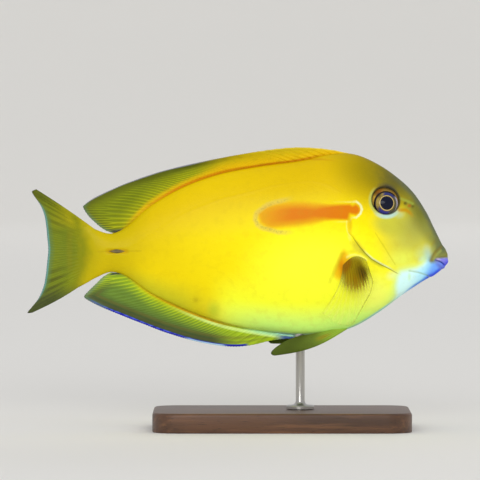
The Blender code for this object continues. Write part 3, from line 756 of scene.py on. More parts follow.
@dataclass
class Skin:
    """The skin of head, torso and tail stalk, as one closed surface with its folds and markings."""

    form: BodyForm
    eye: EyePlace
    # How many points each half of a ring has.
    half_count: int = 144
    # Where the rings' spacing changes, and the spacing from there back.
    spacing: tuple[Place, ...] = ((75.0, 0.14), (62.0, 0.2), (38.0, 0.95), (-36.0, 0.5), (-57.5, 0.5))
    nose_bulge: float = 0.3
    nose_rings: int = 7
    # The shares of the gill opening over which it fades in at its top and out at its lower end.
    gill_fades: Place = (0.25, 0.12)
    # The gill cover: its height over the flank, how far ahead it runs out, and its edge: how far behind
    # the opening's line that begins, and its width.
    cover_rise: float = 0.5
    cover_width: float = 6.0
    cover_edge: Place = (0.1, 0.35)
    # The groove under the cover's edge: depth, how far behind the line it lies, and width.
    gill_groove: tuple[float, float, float] = (0.3, 0.25, 0.28)
    socket_radius: float = 5.0
    socket_depth: float = 2.4
    # How far inside the socket's radius its wall begins, and the wall's width.
    socket_wall: Place = (0.55, 0.6)
    # The rim round the socket: height, how far outside its radius it lies, and width.
    socket_rim: tuple[float, float, float] = (0.4, 0.35, 0.4)
    # How much crisper the shoulder band's edge becomes ahead, from where on, and over what length.
    band_crispness: tuple[float, float, float] = (2.2, 27.0, 11.0)
    creases: tuple[Crease, ...] = (
        Crease(PREOPERCLE, -0.16, 0.45),
        Crease(LOWER_JAW, -0.16, 0.35),
        Crease(MOUTH_SLIT, -0.7, 0.24),
        Crease(UPPER_LIP, 0.2, 0.55),
        Crease(LOWER_LIP, 0.36, 0.6),
        Crease(SNOUT_FOLD, -0.22, 0.45),
        Crease(LIP_LOBE, 0.28, 0.55),
        Crease(LIP_FOLD, -0.22, 0.3),
        Crease(REAR_NOSTRIL, -0.6, 0.45),
        Crease(FRONT_NOSTRIL, -0.45, 0.4),
        Crease(NOSTRIL_BRIDGE, 0.35, 0.5),
        Crease(LATERAL_LINE, 0.07, 0.35),
        Crease(FIN_RIM, 0.45, 0.55),
        Crease(SCALPEL_SLOT, -0.5, 0.75),
        Crease(SCALPEL_SLOT, 0.16, 2.0),
        Crease(CHEEK, 0.35, 6.0),
    )

    def rings(self) -> np.ndarray:
        """Spaces the rings along the body and closes its snout and its end.

        Returns:
            A row for each ring: distance along the body, top, bottom, half width and widest height.
        """
        stops = [np.arange(start, end, -step)
                 for (start, step), (end, _) in zip(self.spacing, self.spacing[1:])]
        x = np.concatenate([*stops, [self.spacing[-1][0]]])
        rows = np.stack([x, *self.form.measures(x)], axis=1)
        nose = []
        for turn in np.linspace(0.0, math.pi / 2, self.nose_rings)[:-1]:
            ring, share = rows[0].copy(), math.sin(turn)
            widest = ring[4]
            ring[0] += self.nose_bulge * math.cos(turn)
            ring[1:3] = widest + (ring[1:3] - widest) * share
            ring[3] *= share
            nose.append(ring)
        rows[-1, 3] = 0.0
        return np.vstack([nose, rows])

    def smooth_body(self) -> np.ndarray:
        """Models the body without its folds.

        Returns:
            Its surface, in rings and points round them.
        """
        rows = self.rings()
        count = 2 * self.half_count + 1
        surface = np.empty((len(rows), count, 3))
        for ring, (x, *shape) in zip(surface, rows):
            ring[:, 0] = x
            ring[:, 1:] = self.form.section(*shape, self.half_count)
        return surface

    def normals(self, surface: np.ndarray) -> np.ndarray:
        """Works out the smooth body's normals, taken right round each ring.

        Args:
            surface: The smooth body's surface.

        Returns:
            A unit normal for each of its points.
        """
        wrapped = np.concatenate([surface[:, -2:-1], surface, surface[:, 1:2]], axis=1)
        normals = -surface_normals(wrapped)[:, 1:-1]
        normals[0] = (1.0, 0.0, 0.0)
        return normals

    def relief(self, surface: np.ndarray) -> np.ndarray:
        """Works out the relief of the folds, the gill cover and the eye sockets.

        Args:
            surface: The smooth body's surface.

        Returns:
            How far each of its points is lifted.
        """
        x, z = surface[..., 0], surface[..., 2]
        lift = sum(crease.rise(x, z) for crease in self.creases)
        gill, share = measure_line(x, z, GILL_OPENING)
        top, end = self.gill_fades
        ends = ease(share / top) * ease((1 - share) / end)
        behind, width = self.cover_edge
        lift += ends * self.cover_rise * ease((gill + behind) / width) * (1 - ease(gill / self.cover_width))
        depth, behind, width = self.gill_groove
        lift -= ends * depth * np.exp(-((gill + behind) / width) ** 2)
        inset, slope = self.socket_wall
        height, outset, width = self.socket_rim
        for side in Side:
            away = self.eye.off_axis(self.form, side, surface)
            here = np.sign(surface[..., 1]) == side.value
            bowl = -self.socket_depth * (1 - ease((away - self.socket_radius + inset) / slope))
            rim = height * np.exp(-((away - self.socket_radius - outset) / width) ** 2)
            lift += np.where(here, bowl + rim, 0.0)
        return lift

    def measures(self, surface: np.ndarray) -> dict[str, np.ndarray]:
        """Takes the distances and heights that the markings are laid by.

        Args:
            surface: The smooth body's surface.

        Returns:
            Each measure's values by its name.
        """
        x, z = surface[..., 0], surface[..., 2]
        top, bottom, _, _ = self.form.measures(x)
        lines = {"halo": BAND_HALO, "preopercle": PREOPERCLE, "jaw": LOWER_JAW, "slit": MOUTH_SLIT,
                 "fold": SNOUT_FOLD, "lobe": LIP_LOBE, "lip_fold": LIP_FOLD, "streak": EYE_STREAK,
                 "fringe": NOSTRIL_FRINGE, "lateral": LATERAL_LINE, "rim": FIN_RIM, "gill_fold": GILL_FOLD,
                 "back_line": BACK_LINE, "wedge_edge": WEDGE_EDGE, "scalpel": SCALPEL_SLOT,
                 "peduncle": PEDUNCLE_LINE, "brow": BROW}
        outlines = {"rear": BAND_REAR, "throat": THROAT, "chin": CHIN, "wedge": FIN_WEDGE,
                    "snout_tip": SNOUT_TIP, "upper_lip": UPPER_LIP_SKIN, "lower_lip": LOWER_LIP_SKIN}
        found = {name: np.abs(measure_line(x, z, line)[0]) for name, line in lines.items()}
        found.update({name: measure_outline(x, z, outline) for name, outline in outlines.items()})
        found["gill"], found["gill_share"] = measure_line(x, z, GILL_OPENING)
        # The band's edge is soft at the rear and crisp at the front.
        gain, start, length = self.band_crispness
        found["band"] = measure_outline(x, z, SHOULDER_BAND) * (1 + gain * ease((x - start) / length))
        found["height"] = self.form.relative_height(x, z)
        found["along"] = x
        found["rearward"] = rearward(x, z)
        found["from_back"] = top - z
        found["from_belly"] = z - bottom
        left, right = (self.eye.off_axis(self.form, side, surface) for side in (Side.LEFT, Side.RIGHT))
        found["eye"] = np.where(surface[..., 1] > 0, left, right)
        return found

    def build(self) -> None:
        """Models the skin and dresses it."""
        smooth = self.smooth_body()
        surface = smooth + self.normals(smooth) * self.relief(smooth)[..., None]
        surface[:, [0, -1], 1] = 0.0
        piece = grid_piece("fish_skin", surface, self.measures(smooth))
        settle(piece, SkinFinish().material(), "skin", "head", "torso", "tail_stalk")


@dataclass(frozen=True)
class SkinFinish:
    """Fish skin under a thin coat of slime: fine scales, a soft sheen and airbrushed colour."""

    roughness: float = 0.42
    # The photo doesn't show the scales, so their width is a guess at a young surgeonfish's fine ones.
    scale_width: float = 0.6
    scale_height: float = 0.045
    # They are drawn out along the body and packed closer from back to belly.
    scale_crowding: tuple[float, float, float] = (0.8, 1.0, 1.15)
    # The soft unevenness of the flesh beneath.
    flesh_size: float = 4.0
    flesh_height: float = 0.06
    markings: tuple[Marking, ...] = (
        # Yellow, more golden towards the tail and the back, which also paints in the shade that falls on the
        # rear and the top of the body, and lemon on the front of the flank and the belly, which also paints
        # in the light that falls fullest there
        Marking("#e8ce03", (Fade("along", 24.0, -30.0),)),
        # Painted light: the front of the flank lightest, where the light falls fullest
        Marking("#fefd30", (Oval((29.0, -8.0), (34.0, 21.0), 0.0, 0.25),)),
        # Painted shade: darker over the top half of the body and towards its rear
        Marking("#dcbc02", (Fade("height", 0.08, 0.75), Fade("along", 66.0, 50.0))),
        Marking("#d0b402", (Fade("along", -12.0, -40.0), Fade("height", -0.6, 0.2)), 0.7),
        Marking("#d2b002", (Fade("height", 0.4, 1.0), Fade("along", -10.0, 30.0))),
        Marking("#f4fb2e", (Fade("height", -0.2, -0.75), Fade("along", -12.0, 0.0))),
        Marking("#cdff7c", (Fade("height", -0.6, -0.97), Fade("along", -16.0, 14.0))),
        Marking("#bfc024", (Fade("height", -0.4, -0.95), Fade("along", -2.0, -22.0)), 0.75),
        Marking("#a6c02c", (Oval((-8.4, -21.4), (3.6, 4.6)),), 0.5),
        Marking("#a8920c", (Oval((-14.5, -17.8), (3.0, 2.2)), Blotches(1.4, 0.5, 0.2)), 0.45),
        # Olive forehead and snout, greenish cheek
        Marking("#9c8802", (Oval((49.0, 28.0), (22.0, 16.0), -30.0, 0.1),)),
        Marking("#c3c048", (Oval((62.0, 4.5), (15.5, 14.0), 0.0, 0.12),)),
        Marking("#c0be3c", (Oval((55.2, 9.3), (9.8, 6.0), -10.0, 0.3),), 0.9),
        Marking("#a09e44", (Oval((64.8, 9.6), (10.8, 9.4)),)),
        Marking("#7a7114", (Oval((57.0, 26.0), (18.0, 12.0), -45.0, 0.1),)),
        Marking("#5f5a28", (Oval((56.0, 24.5), (9.5, 6.0), -35.0),), 0.8),
        Marking("#757629", (Oval((65.5, 14.5), (15.0, 7.0), -58.0, 0.1),)),
        Marking("#868a40", (Oval((70.5, 5.0), (10.0, 5.4), -62.0, 0.15),)),
        # Painted shade: grey-green along the head's upper outline, where its surface turns away from the
        # light
        Marking("#56604c", (Fade("brow", 2.2, 0.3), Fade("along", 52.0, 60.0)), 0.75),
        # Painted light: a bright lemon patch on the breast that lifts the shadow the pectoral fin casts there
        Marking("#f8ff66", (Oval((49.5, -15.5), (12.0, 10.5)),), 0.9),
        Marking("#e4ee58", (Oval((59.0, -3.5), (9.5, 6.0)),), 0.9),
        # Pale throat and blue chin
        Marking("#c0d88c", (Oval((66.6, -1.6), (4.6, 4.6), 24.0),), 0.7),
        Marking("#eef9a0", (Oval((55.5, -8.8), (3.6, 2.6), 20.0),), 0.8),
        Marking("#bce4c4", (Oval((66.2, -3.2), (2.4, 1.8), 20.0),), 0.6),
        Marking("#8ed2ee", (Fade("from_belly", 1.3, 0.2), Fade("along", 38.0, 50.0)), 0.9),
        Marking("#d8f494", (Fade("throat", 2.6, 0.0),), 0.7),
        Marking("#d6fffb", (Fade("throat", 1.1, -1.4),)),
        Marking("#a4cabe", (Oval((68.5, -2.5), (2.7, 6.2), 14.0),), 0.9),
        Marking("#a6e6ff", (Fade("chin", 6.5, 0.5), Fade("throat", 0.3, -1.5))),
        Marking("#70a8ff", (Fade("chin", 2.2, -0.9), Fade("throat", 0.3, -0.8))),
        Marking("#5088f0", (Fade("from_belly", 1.5, 0.4), Fade("along", 58.0, 64.0)), 0.9),
        Marking("#3450f0", (Fade("from_belly", 2.2, 0.5), Fade("chin", 1.6, -1.0)), 0.9),
        # Olive end of the snout, painted shade in its folds, its mouth slit and its jaw groove, and the lilac
        # lips
        Marking("#8e7a22", (Oval((70.6, 2.6), (1.6, 3.4), -24.0),), 0.6),
        Marking("#6c7444", (Fade("snout_tip", 1.3, -0.6),), 0.9),
        Marking("#58644c", (Oval((73.2, 1.2), (2.0, 3.4), -30.0),), 0.7),
        Marking("#8a9858", (Oval((69.8, 0.8), (1.4, 2.8), -24.0),), 0.6),
        Marking("#949c4c", (Fade("lobe", 0.9, 0.0),), 0.8),
        # Painted shade in the snout fold and the lip fold
        Marking("#84742a", (Fade("fold", 0.9, 0.0),), 0.6),
        Marking("#7a6e38", (Fade("lip_fold", 0.65, 0.0),), 0.5),
        Marking("#6c7ada", (Fade("lower_lip", 1.1, -0.7),), 0.8),
        Marking("#7d7ae8", (Fade("upper_lip", 0.5, -0.5),), 0.95),
        Marking("#cfc2e8", (Oval((71.7, -3.3), (1.6, 0.9), -15.0),), 0.6),
        Marking("#4a4cec", (Oval((75.2, -4.8), (2.2, 1.9)),), 0.85),
        # Painted shade in the mouth slit and along the lower jaw's groove
        Marking("#38388e", (Fade("slit", 0.36, 0.05),), 0.7),
        Marking("#8aa86a", (Fade("jaw", 0.5, 0.0),), 0.5),
        Marking("#c4ec90", (Oval((61.4, -9.4), (0.9, 2.4)),), 0.5),
        # Shoulder band: yellow-orange fringe, deep orange core, pale outline
        Marking("#dea000", (Fade("band", 1.4, -1.0, 0.25),)),
        Marking("#d67700", (Fade("band", -0.3, -2.8, 0.25), Fade("along", 6.0, 21.0))),
        Marking("#f2ee86", (Fade("halo", 0.5, 0.0, 0.2), Fade("along", 33.0, 41.5)), 0.5),
        Marking("#e4eec0", (Fade("halo", 0.6, 0.1, 0.3), Fade("along", 40.4, 43.6)), 0.65),
        Marking("#d4bc58", (Fade("rear", 1.4, 0.3, 0.3), Fade("rear", -1.2, -0.2),
                            Fade("along", 21.0, 15.0)), 0.55),
        Marking("#9c8c3c", (Fade("rear", 0.6, 0.0, 0.3), Fade("rear", -0.8, -0.2), Fade("along", 20.0, 16.0),
                            Blotches(0.6, 0.52, 0.1)), 0.38),
        # Gill opening, with painted shade in it and below its cover's edge, and a painted highlight on that
        # edge
        Marking("#dcb404", (Oval((40.1, 9.4), (1.3, 5.2), 0.0, 0.2),), 0.75),
        Marking("#eef090", (Fade("gill_fold", 0.4, 0.0),), 0.35),
        Marking("#dce080", (Oval((40.0, 4.6), (0.9, 2.0), 24.0),), 0.3),
        Marking("#cfc034", (Oval((43.0, 1.0), (2.4, 5.0), 42.0, 0.2),), 0.75),
        # Painted shadow on the flank below the gill cover's edge
        Marking("#a6a634", (Fade("gill", -1.5, -0.3), Fade("gill", 0.1, -0.1), Fade("gill_share", 0.3, 0.5),
                            Fade("gill_share", 0.88, 0.74)), 0.7),
        # The gill cover's pale edge, with a painted highlight along it
        Marking("#e8f6b4", (Fade("gill", -0.05, 0.12), Fade("gill", 0.8, 0.3), Fade("gill_share", 0.4, 0.6),
                            Fade("gill_share", 0.98, 0.84)), 0.85),
        # Painted shade in the gill opening
        Marking("#74741c", (Fade("gill", 0.14, -0.04), Fade("gill", -0.42, -0.12),
                            Fade("gill_share", 0.12, 0.3)), 0.6),
        Marking("#c0b810", (Fade("preopercle", 0.42, 0.0),), 0.45),
        # Root of the pectoral fin
        Marking("#e8ac00", (Fade("wedge", 1.5, -0.8), Oval((36.9, -4.8), (5.6, 8.4), 16.0, 0.5)), 0.85),
        Marking("#d48200", (Fade("wedge", 0.8, -0.9), Oval((37.4, -5.8), (2.6, 6.2), 16.0)), 0.9),
        Marking("#a89a10", (Fade("wedge_edge", 1.1, 0.2),), 0.3),
        Marking("#d8cc1c", (Oval((40.9, -0.4), (3.4, 1.8)),), 0.6),
        # Pale skin along the fold over the fin's root, with a painted highlight on its crest
        Marking("#f4f070", (Fade("rim", 0.7, 0.1),), 0.7),
        # Round the eye
        # Painted shade above the eye
        Marking("#4a4634", (Fade("eye", 7.2, 5.2), Oval((53.8, 23.6), (6.5, 4.6))), 0.8),
        Marking("#b4c060", (Fade("eye", 6.6, 5.7), Oval((48.2, 15.8), (3.2, 8.4), 0.0, 0.4)), 0.8),
        Marking("#b6dcd4", (Fade("eye", 7.1, 5.9), Oval((53.8, 11.8), (7.2, 4.4), 8.0, 0.3)), 0.9),
        Marking("#b0c894", (Oval((58.0, 12.7), (2.5, 1.9), 20.0),), 0.6),
        # Painted shade in the gap between the eye ball and its socket
        Marking("#35332a", (Fade("eye", 5.6, 5.15),), 0.85),
        Marking("#bc8608", (Fade("streak", 1.1, 0.0), Fade("along", 63.6, 60.8)), 0.85),
        Marking("#a0b84c", (Fade("fringe", 0.9, 0.0),), 0.45),
        Marking("#a8601c", (Oval((61.4, 15.9), (1.2, 1.0)),), 0.85),
        # Painted shade in the two nostril pits
        Marking("#3c3418", (Oval((60.0, 16.8), (1.1, 1.0)),), 0.65),
        Marking("#3c3418", (Oval((62.7, 15.7), (0.9, 0.8)),), 0.5),
        # Lateral line, fin bases and tail stalk, with painted shade where the fins meet the body and along
        # the belly's lower edge
        Marking("#cfae08", (Fade("lateral", 0.5, 0.1), Fade("along", -30.0, 8.0)), 0.35),
        # Painted shade: a dark orange strip along the top edge of the body, where it meets the dorsal fin
        Marking("#b87a00", (Fade("from_back", 0.5, 0.0), Fade("along", 38.0, 20.0),
                            Fade("along", -42.0, -20.0)), 0.8),
        # Painted shadow in the narrow gaps between the dorsal and anal fins' hind edges and the tail stalk
        Marking("#4c4a12", (Fade("from_back", 0.6, 0.1), Fade("along", -46.5, -44.0),
                            Fade("along", -37.0, -41.0)), 0.7),
        Marking("#4c4a12", (Fade("from_belly", 0.6, 0.1), Fade("along", -46.5, -44.0),
                            Fade("along", -35.0, -40.0)), 0.7),
        # Painted shade: the same dark orange strip further forward along the back
        Marking("#c07c00", (Fade("back_line", 0.6, 0.0), Fade("along", 37.0, 28.0),
                            Fade("along", 20.0, 25.0)), 0.55),
        Marking("#c99a05", (Fade("from_belly", 0.9, 0.1), Fade("along", 10.0, -6.0),
                            Fade("along", -46.0, -20.0)), 0.7),
        # Painted shade: olive-green along the belly's lower edge, where its surface turns away from the light
        Marking("#a8d05c", (Fade("from_belly", 3.4, 0.3), Fade("along", 2.0, 12.0),
                            Fade("along", 42.0, 32.0)), 0.45),
        Marking("#b0ecc8", (Fade("from_belly", 1.0, 0.2), Fade("along", 9.0, 16.0),
                            Fade("along", 60.0, 52.0)), 0.8),
        *TAIL_ROOT,
        Marking("#c08a0c", (Fade("scalpel", 1.3, 0.4),), 0.4),
        Marking("#a8900f", (Fade("peduncle", 0.5, 0.0),), 0.35),
        # Faint blotches all over
        Marking("#b89a10", (Blotches(2.6, 0.6, 0.14),), 0.1),
    )

    def material(self) -> bpy.types.Material:
        """Paints the skin.

        Returns:
            The skin's material.
        """
        paint = Paint("scaled_fish_skin", "#f9e703", roughness=self.roughness, ior=1.4, coat=0.05,
                      coat_roughness=0.2, specular=0.1)
        for marking in self.markings:
            marking.lay(paint)
        across = add_node(paint.tree, "Mapping", {"Vector": paint.place, "Scale": self.scale_crowding})
        scales = add_node(paint.tree, "TexVoronoi", {"Vector": across.outputs[0],
                                                     "Scale": 1 / (self.scale_width * MM)}, feature="F1")
        paint.emboss(scales.outputs["Distance"], -self.scale_height)
        paint.emboss(paint.grain(self.flesh_size), self.flesh_height)
        return paint.finish()


# The fins

def draw_rays(roots: tuple[np.ndarray, ...], tips: tuple[np.ndarray, ...], share: np.ndarray) -> np.ndarray:
    """Lays out points on straight rays.

    Args:
        roots: The coordinates of the rays' roots.
        tips: The coordinates of their tips.
        share: The points' places along the rays.

    Returns:
        The points, in a column for each ray.
    """
    root, tip = (np.stack(ends, axis=1)[:, None] for ends in (roots, tips))
    return root + (tip - root) * share[None, :, None]


@dataclass
class FinSheet:
    """A fin of bony rays in a thin membrane, modelled as one closed sheet.

    Columns run across the fin, many to a ray, and rows run from its root to its
    margin on one face and back on the other.
    """

    name: str
    nodes: tuple[str, ...]
    rays: int
    spines: int = 0
    # The rays' tips in a row across the fin, and how many points are drawn for each gap between them.
    tips: tuple[tuple[float, ...], ...] = ()
    tip_steps: int = 8
    columns_per_ray: int = 24
    rows: int = 44
    # Above 1, the rows lie closer together towards the root.
    row_crowding: float = 1.15
    membrane_half: float = 0.11
    root_half: float = 0.75
    root_fade: float = 0.3
    ray_rise: float = 0.2
    spine_rise: float = 0.34
    # How much lower a ray is at its tip, as a share of its height.
    ray_taper: float = 0.65
    # The notches between the rays: depth, how much deeper wear makes some, and how near the margin
    # they keep.
    scallop: float = 0.2
    wear: float = 0.5
    notch_power: int = 4
    # The share of the rays' length over which the sheet is rounded off.
    rim: float = 0.025
    # A ray's width as a share of its spacing, and how much slimmer each branching makes it.
    ray_width: float = 0.17
    branch_slimming: Place = (0.07, 0.045)
    # The shares of its length at which a soft ray begins to branch, and branches again.
    branching: Place = (0.06, 0.38)
    branch_length: float = 0.3
    # The share of its length over which a ray rises out of its root.
    ray_start: float = 0.1
    # Where the random wear of the margin starts.
    seed: int = 1

    def read_tips(self, across: np.ndarray) -> tuple[np.ndarray, ...]:
        """Reads the rays' tips at places across the fin.

        Args:
            across: The columns' places across the fin.

        Returns:
            Each measure of the rows of tips at these places.
        """
        fine = spline(self.tips, self.tip_steps)
        keys = np.linspace(0.0, 1.0, len(fine))
        return tuple(np.interp(across, keys, measure) for measure in fine.T)

    def middle(self, across: np.ndarray, share: np.ndarray) -> np.ndarray:
        """Lays out the sheet's middle surface, which each kind of fin does in its own way.

        Args:
            across: The columns' places across the fin, from 0 to 1.
            share: The rows' places along the rays, from 0 at the root to 1 at the margin.

        Returns:
            The surface, in columns and rows.
        """
        raise NotImplementedError

    def ridges(self, across: np.ndarray, share: np.ndarray) -> np.ndarray:
        """Shapes the rays. Each soft ray branches in two, and in four nearer the margin.

        Args:
            across: The columns' places across the fin.
            share: The rows' places along the rays.

        Returns:
            How high the rays stand at each point, from 0 to 1.
        """
        cell = across * (self.rays + self.spines)
        off = np.abs(cell % 1.0 - 0.5)[:, None]
        soft = (cell >= self.spines)[:, None]
        first, second = (ease((share[None, :] - start) / self.branch_length) * soft
                         for start in self.branching)
        # The branches part by a quarter of a ray's spacing to each side, and then by an eighth.
        off = np.abs(np.abs(off - 0.25 * first) - 0.125 * second)
        slim, slimmer = self.branch_slimming
        width = self.ray_width - slim * first - slimmer * second
        return np.exp(-(off / width) ** 2)

    def half_thickness(self, across: np.ndarray, share: np.ndarray, crest: np.ndarray) -> np.ndarray:
        """Works out half the sheet's thickness, which is rounded off all along its borders.

        Args:
            across: The columns' places across the fin.
            share: The rows' places along the rays.
            crest: How high the rays stand at each point, from 0 to 1.

        Returns:
            The half thickness at each point.
        """
        count = self.rays + self.spines
        rise = np.where((across * count < self.spines)[:, None], self.spine_rise, self.ray_rise)
        swell = (self.root_half - self.membrane_half) * np.clip(1 - share / self.root_fade, 0.0, 1.0) ** 2
        half = self.membrane_half + swell[None, :] + rise * crest * (1 - self.ray_taper * share[None, :])
        to_border = np.minimum(across, 1 - across)[:, None] * count * 2
        to_margin = np.minimum(1 - share, share * 2)[None, :] / self.rim
        return half * np.sqrt(1 - (1 - np.clip(np.minimum(to_border, to_margin), 0.0, 1.0)) ** 2)

    def measures(self, surface: np.ndarray) -> dict[str, np.ndarray]:
        """Takes further measures that this fin's markings are laid by."""
        return {}

    def build(self, material: bpy.types.Material) -> None:
        """Models the fin and dresses it.

        Args:
            material: The fin's finish.
        """
        count = self.rays + self.spines
        across = np.linspace(0.0, 1.0, count * self.columns_per_ray + 1)
        share = np.linspace(0.0, 1.0, self.rows + 1) ** self.row_crowding
        crest = self.ridges(across, share) * ease(share / self.ray_start)
        middle = self.middle(across, share)
        root, tip = middle[:, :1], middle[:, -1:]
        length = np.linalg.norm(tip - root, axis=2)
        rng = np.random.default_rng(self.seed)
        worn = np.interp(across * count, np.arange(count + 1), rng.uniform(0.0, self.wear, count + 1))
        notch = self.scallop * (1 - crest[:, -1] + worn) / length[:, 0]
        middle = middle - (tip - root) * (notch[:, None] * share[None, :] ** self.notch_power)[..., None]
        offset = surface_normals(middle) * self.half_thickness(across, share, crest)[..., None]
        surface = np.concatenate([middle + offset, (middle - offset)[:, -2::-1]], axis=1)
        beam = 0.5 - 0.5 * np.cos(2 * math.pi * across * count)
        found = {"crest": crest, "share": np.broadcast_to(share[None, :], crest.shape),
                 "margin": (1 - share)[None, :] * length,
                 "across": np.broadcast_to(across[:, None], crest.shape),
                 "beam": np.broadcast_to(beam[:, None], crest.shape)}
        found.update(self.measures(middle))
        folded = {name: np.concatenate([values, values[:, -2::-1]], axis=1)
                  for name, values in found.items()}
        piece = grid_piece(self.name, surface, folded)
        settle(piece, material, "fin_membrane", *self.nodes)


@dataclass
class MedianFin(FinSheet):
    """A fin in the fish's middle plane, above the body or under it."""

    form: BodyForm = field(default_factory=BodyForm)
    above: bool = True
    root_sink: float = 1.3
    waves: float = 5.0
    # Above 1, the waves lie closer together towards the fin's rear.
    wave_crowding: float = 1.5
    wave_height: float = 0.28
    margin_steps: int = 4
    root_half: float = 0.6
    root_fade: float = 0.14
    branching: Place = (-0.3, 0.42)
    # How far a ray bows away from the body, as a share of its length, at the fin's rear.
    bow: float = 0.07
    # The shares of the fin over which the bow sets in at the front and ends at the rear.
    bow_fades: Place = (0.6, 0.2)

    def middle(self, across: np.ndarray, share: np.ndarray) -> np.ndarray:
        """Lays out the fin's middle surface, with a slight wave towards its margin.

        Args:
            across: The columns' places across the fin.
            share: The rows' places along the rays.

        Returns:
            The surface, in columns and rows.
        """
        tips = np.array(self.tips)
        root_x = tips[0, 0] + (tips[-1, 0] - tips[0, 0]) * across
        fine = spline(tips, self.tip_steps)[::-1]
        tip_x, tip_z = (np.interp(root_x, fine[:, 0], fine[:, k]) for k in (1, 2))
        top, bottom, _, _ = self.form.measures(root_x)
        root_z = top - self.root_sink if self.above else bottom + self.root_sink
        made = draw_rays((root_x, 0 * root_x, root_z), (tip_x, 0 * root_x, tip_z), share)
        ripple = np.sin(2 * math.pi * self.waves * across ** self.wave_crowding)
        made[..., 1] = self.wave_height * share ** 2 * ripple[:, None]
        front, rear = self.bow_fades
        swept = ease(across / front) * ease((1 - across) / rear)
        arch = self.bow * (tip_x - root_x)[:, None] * swept[:, None] * np.sin(math.pi * share)[None, :]
        made[..., 2] += -arch if self.above else arch
        return made

    def measures(self, surface: np.ndarray) -> dict[str, np.ndarray]:
        """Measures how far places stand out of the body and lie within the fin's margin.

        Args:
            surface: The fin's middle surface.

        Returns:
            These and the distance along the body and the height, by their names.
        """
        x, z = surface[..., 0], surface[..., 2]
        top, bottom, _, _ = self.form.measures(x)
        margin = tuple(map(tuple, spline(np.array(self.tips)[:, 1:], self.margin_steps)))
        return {"out": z - top if self.above else bottom - z, "along": x, "level": z,
                "margin": np.abs(measure_line(x, z, margin)[0])}


@dataclass
class TailFin(FinSheet):
    """The whole tail fin in one sheet, from the tip of its lower lobe to the tip of the upper one."""

    root: float = -49.6
    # The roots' heights are drawn in to this share of the tips' first measure.
    root_share: float = 0.84
    waves: float = 2.5
    wave_height: float = 0.3
    membrane_half: float = 0.15
    root_half: float = 0.6
    root_fade: float = 0.5
    ray_start: float = 0.75
    # How far the outermost rays of the lower and the upper lobe bow outwards.
    bows: Place = (-1.0, 0.35)
    # The higher, the more the bow keeps to those rays.
    bow_power: int = 4

    def middle(self, across: np.ndarray, share: np.ndarray) -> np.ndarray:
        """Lays out the fin's middle surface, with a slight wave and with bowed outer rays.

        Args:
            across: The columns' places across the fin.
            share: The rows' places along the rays.

        Returns:
            The surface, in columns and rows.
        """
        root_z, tip_x, tip_z = self.read_tips(across)
        made = draw_rays((0 * root_z + self.root, 0 * root_z, root_z * self.root_share),
                         (tip_x, 0 * tip_x, tip_z), share)
        made[..., 1] = self.wave_height * share ** 2 * np.sin(2 * math.pi * self.waves * across)[:, None]
        bow = np.where(across < 0.5, *self.bows) * (2 * across - 1) ** self.bow_power
        made[..., 2] += bow[:, None] * np.sin(math.pi * share)[None, :]
        return made

    def measures(self, surface: np.ndarray) -> dict[str, np.ndarray]:
        """Measures distance along the body, height, and how far back the tail's colours lie."""
        x, z = surface[..., 0], surface[..., 2]
        return {"along": x, "level": z, "rearward": rearward(x, z)}


@dataclass
class PectoralFin(FinSheet):
    """A pectoral fin, fanned down and out from the flank behind the gill opening."""

    form: BodyForm = field(default_factory=BodyForm)
    side: Side = Side.RIGHT
    branching: Place = (0.7, 1.5)
    front_root: Place = (46.1, -3.6)
    back_root: Place = (37.9, -4.6)
    root_arch: float = 2.3
    root_sink: float = 1.0
    # Below 1, the rays' roots lie closer together towards the rear.
    root_crowding: float = 0.6
    # Each ray's tip: its place, and its reach out from the flank.
    tips: tuple[tuple[float, ...], ...] = (
        (48.2, -10.6, 13.0), (47.2, -14.6, 15.5), (45.6, -17.4, 16.5), (43.2, -21.8, 16.5),
        (40.6, -25.7, 14.5), (36.0, -26.0, 11.0), (32.5, -23.9, 7.5), (29.9, -21.9, 4.5))
    tip_steps: int = 6
    bow_out: float = 1.6
    bow_back: float = 1.7

    def middle(self, across: np.ndarray, share: np.ndarray) -> np.ndarray:
        """Lays out the fin's middle surface, bowed outwards and back.

        Args:
            across: The columns' places across the fin.
            share: The rows' places along the rays.

        Returns:
            The surface, in columns and rows.
        """
        place = across ** self.root_crowding
        arch = self.root_arch * np.sin(math.pi * place)
        x = self.front_root[0] + (self.back_root[0] - self.front_root[0]) * place
        z = self.front_root[1] + (self.back_root[1] - self.front_root[1]) * place + arch
        skin = self.form.flank(x, z)
        tip_x, tip_z, tip_out = self.read_tips(across)
        made = draw_rays((x, skin - self.root_sink, z), (tip_x, skin + tip_out, tip_z), share)
        bow = np.sin(math.pi * share)[None, :]
        made[..., 1] += self.bow_out * bow
        made[..., 0] += self.bow_back * across[:, None] * bow
        made[..., 1] *= self.side.value
        return made


